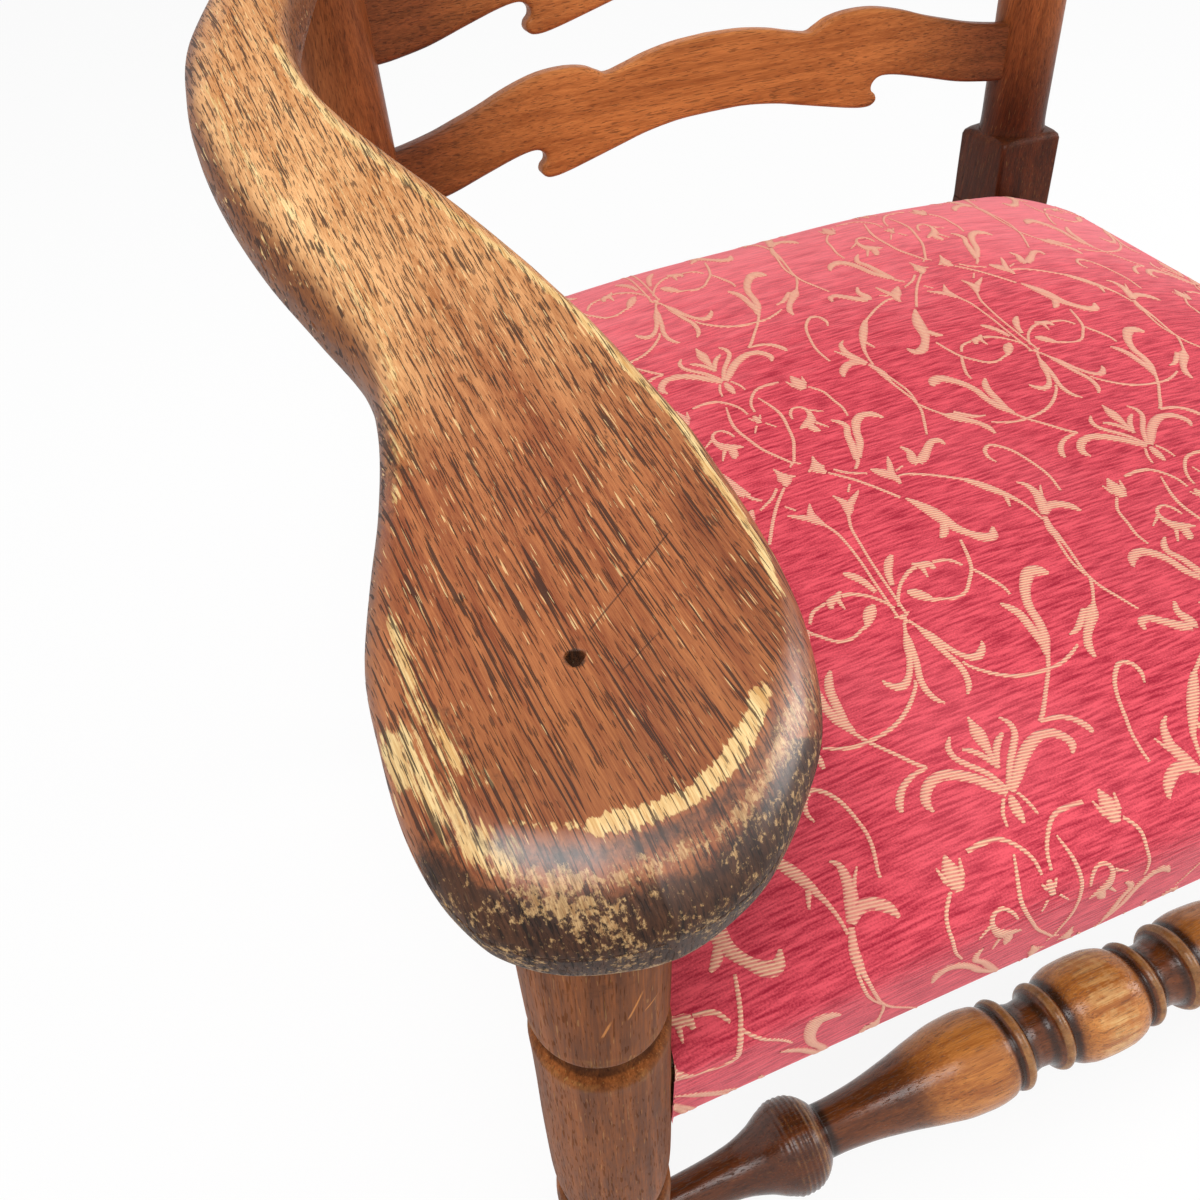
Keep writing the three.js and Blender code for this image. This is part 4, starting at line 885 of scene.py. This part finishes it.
figure_points, figure_faces, figure_cloth, figure_edge = [], [], [], []
for column, row, mirror, stroke in product(range(-2, 4), range(-2, 3), (1, -1), STROKES):
    if mirror < 0 and max(s[0] for s in stroke) == 0:
        continue
    line = curve_through(stroke, 1.6)
    y = FIGURE_Y + line[:, 1] + REPEAT * row + (REPEAT / 2 if column % 2 else 0)
    x = FIGURE_X + COLUMN * column + mirror * line[:, 0] + np.interp(y, drift_y, drift_x)
    if y.max() < FIGURE_FRONT or y.min() > FIGURE_BACK or x.max() < -FIGURE_SIDE or x.min() > FIGURE_SIDE:
        continue
    ahead = np.gradient(np.stack([x, y], 1), axis=0)
    ahead /= np.maximum(np.linalg.norm(ahead, axis=1), 1e-6)[:, None]
    before = None
    for k in range(len(line)):
        bar = []
        for share, lift in ACROSS:
            reach = share * max(line[k, 2], 0.8) / 2
            u, v = x[k] - ahead[k, 1] * reach, y[k] + ahead[k, 0] * reach
            bar.append((on_cloth(u, v, lift), u, v, abs(share)))
        if any(b[0] is None for b in bar):
            before = None
            continue
        base = len(figure_points)
        for place, u, v, edge in bar:
            figure_points.append(tuple(place))
            figure_cloth.append((u, v, 0.0))
            figure_edge.append(edge)
        if before is not None:
            figure_faces += [[before + c + 1, before + c, base + c, base + c + 1] for c in range(len(ACROSS) - 1)]
        before = base

tan_yarn, start = new_material("tan_yarn")
cloth = start.mark("cloth", 1)
nap = cloth.stretch((700, 700, 700)).noise(2.0)
slant = cloth.dot((900.0, 4600.0, 0.0))
hatch = slant.sum("SINE", slant + nap * 1.5) * 0.5 + 0.5
fade = cloth.stretch((14, 14, 14)).noise(3.0)
colour = (hatch * 0.6 + nap * 0.5).ramp(0.15, 0.8).tint(rgb("e8847a"), rgb("f9c8a2"))
colour = (fade.ramp(0.4, 0.75) * 0.35).tint(colour, rgb("f0958a"))
ragged = (start.mark("edge") + (nap - 0.5) * 0.9 - hatch * 0.42).ramp(0.34, 0.66)
colour = (ragged * 0.8).tint(colour, rgb("d8505e"))
start.finish(colour, 0.72 + nap * 0.15, hatch + nap * 0.3, 0.0004, {"Specular IOR Level": 0.25, "Sheen Weight": 0.15})
marks = {"edge": figure_edge}
figure = make_piece("seat_cover_figure", np.array(figure_points), figure_faces, tan_yarn, (), marks)
on_flat(figure, figure_cloth)


# Arms: oak sawn from one plank each, a broad paddle over the leg sweeping up and out and back in to the post. The left
# one is worn to bare wood at the rim, blackened by hands at the nose, and has an old nail hole and scratches. On both,
# the front roll of the nose and the sides carry painted shade, and the inner side of the nose a painted sheen.
# distance behind the leg axis, inner and outer edge from the middle, share of thickness lost below
ARM_ROWS = [
    (-26.4, 257.9, 259.1, 0.18), (-26, 252, 265, 0.16), (-24.5, 244, 274, 0.08), (-20.5, 234, 285, 0.03),
    (-15, 226, 293, 0), (-8, 218, 299, 0), (6, 205, 304.5, 0), (24, 196, 307, 0), (45, 190, 306.5, 0),
    (70, 187, 304, 0), (95, 187, 296, 0), (120, 189, 286.5, 0), (150, 195, 278, 0), (175, 201.5, 276.5, 0),
    (205, 211, 285, 0), (235, 223, 294, 0), (265, 238, 300, 0), (295, 251.5, 302.5, 0), (320, 256, 300.5, 0),
    (350, 252, 294, 0), (385, 239, 276, 0), (420, 224.5, 259.5, 0), (450, 213, 247, 0), (478, 203, 237, 0),
]
ARM_LEVEL, ARM_RISE, ARM_SIDE, ARM_ROLL, TOP_POINTS = 588.0, 73.0, 15.5, 1.05, 92
ARM_THICK, ARM_THICKER, ARM_UNDER = 31, 5, 13
# the worn crease where the flat top turns over, as |x|, y: outer side, front, inner side
OUTER_CREASE = [
    (226, 490), (236, 450), (247, 420), (263, 385), (274, 350), (285, 326), (291.5, 305), (291, 284),
    (287.5, 265), (283, 247), (277.5, 227), (271.5, 210), (268, 180), (269, 160), (272, 145), (276, 128),
    (281, 112), (289, 87), (293.5, 60), (294.5, 36), (292, 16),
]
FRONT_CREASE = [
    (287, 7.5), (278, 2.2), (268, -1.4), (259, -2.6), (252, -3), (244, -2.2), (237, 0.2), (229, 5), (222, 11),
    (215, 18),
]
INNER_CREASE = [
    (205, 29), (198.5, 42), (195, 60), (194.5, 80), (195, 112), (199.5, 135), (206, 164), (216.5, 191),
    (230, 220), (241.5, 243), (253.5, 271), (260.5, 296), (263, 320), (259, 350), (246, 385), (231, 420),
    (220, 450), (209, 490),
]
CREASE = OUTER_CREASE + FRONT_CREASE + INNER_CREASE
BARE_CRESCENT = [
    (268, -2), (259, -3.4), (252, -3.8), (244, -3), (237, -0.4), (229, 4.2), (222, 10.5), (218, 15.5),
]
NAIL, NAIL_DEEP, NAIL_RADIUS = (-254.8, 43.5), 7.0, 2.6
NICKS = [
    ((-249, 49.6, 0), (-214, 74.4, 0)), ((-246.5, 34.5, 0), (-231, 43.5, 0)), ((-247, 90.8, 0), (-232, 100.6, 0)),
]
DENTS = [(215.3, 179.4), (243.8, 179.7), (249.4, 149.6), (249.3, 135.1), (217.6, 113.6), (275, 73.4), (248.7, 88.6)]


def rise_share(y):
    """How much of its rise the arm has made at a distance behind the leg axis."""
    t = np.clip((y - 40) / 430, 0, 1)
    return t * t * (3 - 2 * t)


def roll_share(x, y):
    """1 on the flat of the arm's top and falling to 0 at its outline, in plan."""
    rows = curve_through(ARM_ROWS, 6)
    outline = [(r[1], r[0]) for r in rows[::-1]] + [(r[2], r[0]) for r in rows]
    to_edge, to_crease = near_line(x, y, outline), near_line(x, y, CREASE)
    return np.where(inside(x, y, CREASE), 1.0, to_edge / np.maximum(to_edge + to_crease, 1e-6))


def arm_section(y, inner, outer, lift):
    """The arm cut across at y: its top as flat points from the inner to the outer edge, then its round underside."""
    share = rise_share(y)
    thick = ARM_THICK + ARM_THICKER * share
    top = ARM_LEVEL + ARM_RISE * share
    low = top - thick * (1 - lift)
    half = (outer - inner) / 2
    low_x, low_z = (min(ARM_UNDER, room * 0.8) for room in (half, top - ARM_SIDE - low))
    upper = np.array([(half * math.sin(u), top) for u in np.linspace(math.pi / 2, -math.pi / 2, TOP_POINTS)])
    arc = np.linspace(0, math.pi / 2, 10)
    side = np.linspace(top - ARM_SIDE, low + low_z, 5)[1:-1]
    turn = np.stack([-half + low_x * (1 - np.cos(arc)), low + low_z * (1 - np.sin(arc))], 1)
    floor = np.stack([np.linspace(-half + low_x, half - low_x, 34)[1:-1], np.full(32, low)], 1)
    left = np.stack([np.full(3, -half), side], 1)
    ring = np.vstack([upper, left, turn, floor, (turn * [-1, 1])[::-1], (left * [-1, 1])[::-1]])
    return np.column_stack([-(inner + outer) / 2 + ring[:, 0], np.full(len(ring), y), ring[:, 1]])


rows = curve_through(ARM_ROWS, 1.7)
sections = [arm_section(*row[:3], max(row[3], 0)) for row in rows]
sides = len(sections[0])
arm_points = np.vstack(sections)
arm_faces = [f[::-1] for f in tube_faces(len(sections), sides)]
upper = np.tile(np.arange(sides) < TOP_POINTS, len(sections))
x, y = np.abs(arm_points[:, 0]), arm_points[:, 1]
share = roll_share(x, y)
turned = np.arccos(np.clip(1 - share * (1 - math.cos(ARM_ROLL)), -1, 1))
uneven = 0.3 * np.sin(y / 17) * np.sin(x / 13 + 1) + 0.22 * np.sin(y / 7.3) + 0.12 * np.sin(y / 4.1 + x / 5)
for at in DENTS:
    uneven = uneven - 1.6 * bell(np.hypot(x - at[0], y - at[1]), 1.6)
arm_points[upper, 2] += (-ARM_SIDE * (1 - np.sin(turned) / math.sin(ARM_ROLL)) + uneven * 0.5 * share)[upper]


def bored(points, faces, hole):
    """The points and faces of a solid with an uneven tapered hole bored down into it."""
    x, y, top, depth, radius = hole
    a = np.arange(12) * math.pi / 6
    wide = radius * (1 + 0.18 * np.sin(3 * a + 1))
    rings = [(top + 3, 1.15), (top - 0.4, 1.0), (top - depth, 0.55)]
    drill_round = lambda z, f: np.column_stack([x + wide * f * np.cos(a), y + wide * f * np.sin(a), 0 * a + z])
    cut = np.vstack([drill_round(*ring) for ring in rings[::-1]])
    cut_faces = tube_faces(len(rings), len(a))
    pair = []
    for p, f in ((points, faces), (cut, cut_faces)):
        mesh = bpy.data.meshes.new("blank")
        mesh.from_pydata([tuple(q) for q in p], [], [list(map(int, g)) for g in f])
        pair.append(in_scene("blank", mesh))
    drill = pair[0].modifiers.new("hole", "BOOLEAN")
    drill.operation, drill.object, drill.solver = "DIFFERENCE", pair[1], "EXACT"
    done = pair[0].evaluated_get(bpy.context.evaluated_depsgraph_get()).to_mesh()
    result = np.array([v.co for v in done.vertices]), [list(f.vertices) for f in done.polygons]
    for blank in pair:
        bpy.data.objects.remove(blank)
    return result


def arm_marks(p, history):
    """Worn, scuffed, dirty and faded marks of an arm at each of its points, with painted shade on the nose roll and
    sides and a painted sheen on the inner side of the nose.
    """
    x, y, z = np.abs(p[:, 0]), p[:, 1], p[:, 2]
    below = ARM_LEVEL + ARM_RISE * rise_share(y) - z
    on_top = np.clip((15 - below) / 4, 0, 1)
    flat = roll_share(x, y) * on_top
    outer = x > np.interp(y, [r[0] for r in ARM_ROWS], [(r[1] + r[2]) / 2 for r in ARM_ROWS])
    near = lambda line, wide: bell(near_line(x, y, line), wide)
    crescent = near(BARE_CRESCENT, 2.5)
    thin = near([(286, 7), (278, 2), (268, -1.6)], 1.6) * 0.4
    inner = near(INNER_CREASE[1:13], 2.2) * (0.48 + 0.24 * np.clip(y / 150, 0, 1))
    streaks = near([(293, 74), (294, 56), (293.5, 44), (291, 30), (286.5, 18)], 3.4) * 0.47
    patch = near([(300, 40), (299, 24), (295, 10), (288, 0)], 6) * 0.44 + near([(304, 60), (304, 30)], 3) * 0.32
    outer_line = near(OUTER_CREASE[6:17], 3.2) * 0.36 + near([(298, 270), (292, 238), (285, 214)], 4) * 0.22
    bare = history * on_top * np.maximum.reduce([crescent * 0.85, thin, inner, streaks, patch, outer_line])
    nose = np.clip((22 - y) / 18, 0, 1)
    right_nose = np.clip((46 - y) / 26, 0, 1) * (~outer)
    roll = np.maximum(nose, right_nose)
    tan_band = bell(flat - 0.52, 0.14) * nose * on_top
    rim = bell(below - 27, 3.5) * np.clip((14 - y) / 14, 0, 1)
    left_scuff = near([(288, -8), (280, -16), (268, -22)], 8) * 0.42 * (below > 3)
    # Painted sheen and scuffs: a pale tan patch on the inner side of the nose.
    right_scuff_and_sheen = near([(206, 44), (207, 28), (212, 14), (221, 3)], 7) * 0.5 * np.clip(below / 4, 0, 1)
    low_scuff = np.clip((0.5 - flat) / 0.2, 0, 1) * roll * 0.3
    scuffs_and_sheen = history * np.maximum.reduce([tan_band * 0.5, rim * 0.55, left_scuff, right_scuff_and_sheen, low_scuff])
    # Dirt and painted shade: the front roll of the nose is darkened, most on its face and also just below the worn
    # crescent.
    face = np.clip((np.where(outer | (y < 4), 0.62, 0.3) - flat) / 0.42, 0, 1) * roll * (0.88 - 0.35 * rim)
    roll_dirt_and_shade = bell(flat - 0.72, 0.2) * nose * 0.5
    edge = near([(275, 150), (278, 126), (284, 108)], 3.5) * 0.36
    edge = edge + near([(289, 40), (286, 24), (281, 12)], 3.5) * 0.34
    spot = bell(np.hypot(x - 202, y - 72), 4.5) * 0.42 + near([(198, 130), (199, 112)], 4) * 0.25
    nail = bell(np.hypot(p[:, 0] - NAIL[0], y - NAIL[1]), 2.9, 4)
    for at in DENTS:
        spot = np.maximum(spot, bell(np.hypot(x - at[0], y - at[1]), 2) * 0.5)
    grime = history * np.maximum.reduce([face, roll_dirt_and_shade, edge * on_top, spot * on_top, nail]) - crescent * on_top * 0.6
    faded = np.clip((y - 70) / 190, 0, 1) * 0.85 + near(OUTER_CREASE[5:16], 7) * 0.3 * on_top
    # Painted shade in part: the sides below the flat top are darkened, the outer side more; the front of the paddle is
    # darker too.
    deep = np.clip((0.75 - flat) / 0.6, 0, 1) * np.clip((y - 30) / 60, 0, 1) * np.where(outer, 0.95, 0.7)
    deep = np.maximum(deep, np.clip((85 - y) / 110, 0, 0.62) * 0.62)
    polish = np.maximum(bell(flat - 0.72, 0.2) * roll, bell(flat - 0.5, 0.34) * right_nose)
    grime, faded = np.clip(grime, 0, 1), np.clip(faded, 0, 1)
    return {"bare": bare, "scuffs_and_sheen": scuffs_and_sheen, "grime": grime, "faded": faded, "deep": deep, "polish": polish}


arm_oak, start = new_material("arm_oak")
place = start.place()
lean = place.add("VectorRotate", {"rotation_type": "Z_AXIS"}, {"Vector": place, "Angle": -0.06})
broad = lean.stretch((30, 5, 14)).noise(3.0, 0.55, 0.4)
streak = lean.stretch((260, 12, 80)).noise(3.0, 0.6)
rag = lean.stretch((700, 34, 230)).noise(3.0, 0.65)
fibre = lean.stretch((2200, 90, 600)).noise(2.0, 0.6)
mottle = place.stretch((420, 300, 420)).noise(5.0, 0.7)
blotch = place.stretch((60, 60, 60)).noise(4.0, 0.6)
faded = start.mark("faded")
pores = lean.stretch((1350, 33, 240)).noise(1.0, 0.4, 0.3)
short_pores = lean.stretch((2000, 150, 420)).noise(1.0, 0.4, 0.2)
pore_mask = (pores + (blotch - 0.5) * 0.12 - faded * 0.03).ramp(0.595, 0.64)
pore_mask = pore_mask.sum("MAXIMUM", pore_mask, (short_pores + faded * 0.03).ramp(0.615, 0.68) * 0.8)
flecks = lean.stretch((1700, 90, 420)).shift((3.1, 7.7, 1.9)).noise(1.0, 0.4)
fleck_mask = (flecks + faded * 0.04 + (blotch - 0.5) * 0.16 - start.mark("deep") * 0.07).ramp(0.685, 0.725)
tone = (broad * 0.45 + streak * 0.6 + fibre * 0.5 - 0.275).ramp(0.25, 0.78)
colour = tone.tint(rgb("7b3b1e"), rgb("c07847"))
cloud = place.stretch((26, 12, 26)).noise(3.0, 0.6)
colour = (cloud.ramp(0.5, 0.72) * 0.5).tint(colour, tone.tint(rgb("58250f"), rgb("8f4c26")))
golden = tone.tint(rgb("ac6a33"), rgb("ecb67c"))
colour = (faded + (broad - 0.5) * 0.6).ramp(0.05, 0.85).tint(colour, golden)
shaded = tone.tint(rgb("502611"), rgb("8f5528"))
colour = (start.mark("deep") + (streak - 0.5) * 0.4).ramp(0.1, 0.9).tint(colour, shaded)
bare = (start.mark("bare") * 1.25 + (rag - 0.5) * 1.6 + (mottle - 0.5) * 0.4).ramp(0.4, 0.56)
colour = (bare * 0.9).tint(colour, (streak * 0.6 + fibre * 0.5).ramp(0.35, 0.75).tint(rgb("c79555"), rgb("f2d69a")))
fine = place.stretch((900, 500, 900)).noise(3.0, 0.7)
scuffs_and_sheen = (start.mark("scuffs_and_sheen") * 1.2 + (mottle - 0.5) * 1.3 + (fine - 0.5) * 1.1 + (blotch - 0.5) * 0.9).ramp(0.4, 0.64)
# Dirt, and painted shade on the nose roll, darken the wood towards near black.
grime = (start.mark("grime") * 1.3 + (mottle - 0.5) * 1.2 + (blotch - 0.5) * 0.9).ramp(0.28, 0.86)
colour = (pore_mask * 0.86).tint(colour, rgb("2c170e"))
colour = (fleck_mask * 0.68).tint(colour, rgb("e9c48a"))
colour = (grime * 0.92).tint(colour, rag.ramp(0.35, 0.7).tint(rgb("150b06"), rgb("452a1a")))
# Tan scuffs, and a painted sheen on the inner side of the nose.
colour = (scuffs_and_sheen * 0.7).tint(colour, fibre.ramp(0.3, 0.7).tint(rgb("a87c4c"), rgb("d9b27c")))
nicks = scratch(place, (1, 1, 0), *NICKS[0], 0.34)
for nick in NICKS[1:]:
    nicks = nicks + scratch(place, (1, 1, 0), *nick, 0.3) * 0.7
colour = (nicks.ramp(0, 1) * 0.6).tint(colour, rgb("2a160d"))
roughness = 0.44 + bare * 0.14 + grime * 0.12 + (fibre - 0.5) * 0.2 + pore_mask * 0.15
height = fibre * 0.2 + streak * 0.2 - pore_mask * 0.5 - bare * 0.25 + mottle * 0.25 - nicks * 0.4
handled = {"Specular IOR Level": 0.27, "Coat Weight": start.mark("polish"), "Coat Roughness": 0.26}
start.finish(colour, roughness, height, 0.0004, handled)
nail_top = float(ARM_LEVEL + ARM_RISE * rise_share(np.array(NAIL[1])))
bored_points, bored_faces = bored(arm_points, arm_faces, (*NAIL, nail_top, NAIL_DEEP, NAIL_RADIUS))
for side, sign in (("left", 1), ("right", -1)):
    source = (bored_points, bored_faces) if side == "left" else (arm_points, arm_faces)
    placed = source[0] * [sign, 1, 1]
    name = "arm_" + side
    marks = arm_marks(placed, 1.0 if side == "left" else 0.7)
    make_piece(name + "_sawn", placed, [f[::sign] for f in source[1]], arm_oak, [name], marks)


# Floor, light and camera: a plain white studio floor, soft light from above the left and a weaker one from the right,
# and the camera looking down over the left arm.
def seen(start):
    """1 for what the camera sees, straight, in a reflection or through glass."""
    camera_ray, glossy_ray, glass_ray = (start.add("LightPath", {}, {}, output) for output in (0, 3, 6))
    return (camera_ray + glossy_ray + glass_ray).ramp(0, 1)


floor_mesh = bpy.data.meshes.new("floor")
floor_mesh.from_pydata([(-6, -6, 0), (6, -6, 0), (6, 6, 0), (-6, 6, 0)], [], [(0, 1, 2, 3)])
floor = in_scene("floor", floor_mesh)
floor.location.z = -0.0005
floor_white, start = new_material("floor_white")
matt = start.add("BsdfDiffuse", {}, {"Color": (0.95, 0.95, 0.95, 1)})
glow = start.add("Emission", {}, {"Color": (1, 1, 1, 1), "Strength": 1.0})
white = start.add("MixShader", {}, {0: seen(start) * 0.85, 1: matt, 2: glow})
start.add("OutputMaterial", {}, {"Surface": white})
floor_mesh.materials.append(floor_white)

world = bpy.data.worlds.new("studio")
world.use_nodes = True
world.node_tree.nodes.clear()
start = Sock(world.node_tree)
sky = start.add("Background", {}, {"Color": (1, 1, 1, 1), "Strength": seen(start) * 0.4 + 0.6})
start.add("OutputWorld", {}, {"Surface": sky})
bpy.context.scene.world = world


def soft_light(name, place, aim, size, power):
    """A round soft lamp, so many metres across and so many watts."""
    light = bpy.data.lights.new(name, "AREA")
    light.shape, light.size, light.energy = "DISK", size, power
    lamp = in_scene(name, light)
    lamp.location = place
    lamp.rotation_euler = (Vector(aim) - Vector(place)).to_track_quat("-Z", "Y").to_euler()


soft_light("key_light", (-0.7, -0.6, 2.6), (0, 0, 0.45), 1.5, 34)
soft_light("side_light", (1.9, -0.5, 1.25), (0, 0, 0.45), 1.2, 18)

YAW, PITCH, ROLL_TURN = math.radians(20.13), math.radians(47.66), math.radians(-2.82)
ahead = Vector((math.sin(YAW) * math.cos(PITCH), math.cos(YAW) * math.cos(PITCH), -math.sin(PITCH)))
level = Vector((math.cos(YAW), -math.sin(YAW), 0))
above = level.cross(ahead)
right = math.cos(ROLL_TURN) * level + math.sin(ROLL_TURN) * above
up = -math.sin(ROLL_TURN) * level + math.cos(ROLL_TURN) * above
lens = bpy.data.cameras.new("camera")
lens.lens, lens.sensor_width, lens.clip_start = 32.184, 36.0, 0.02
camera = in_scene("camera", lens)
eye = (-0.3061, LEG_LINE - 0.1166, 0.793)
camera.matrix_world = Matrix([(right[k], up[k], -ahead[k], eye[k]) for k in range(3)] + [(0, 0, 0, 1)])
bpy.context.scene.camera = camera
bpy.context.scene.view_settings.view_transform = "Standard"
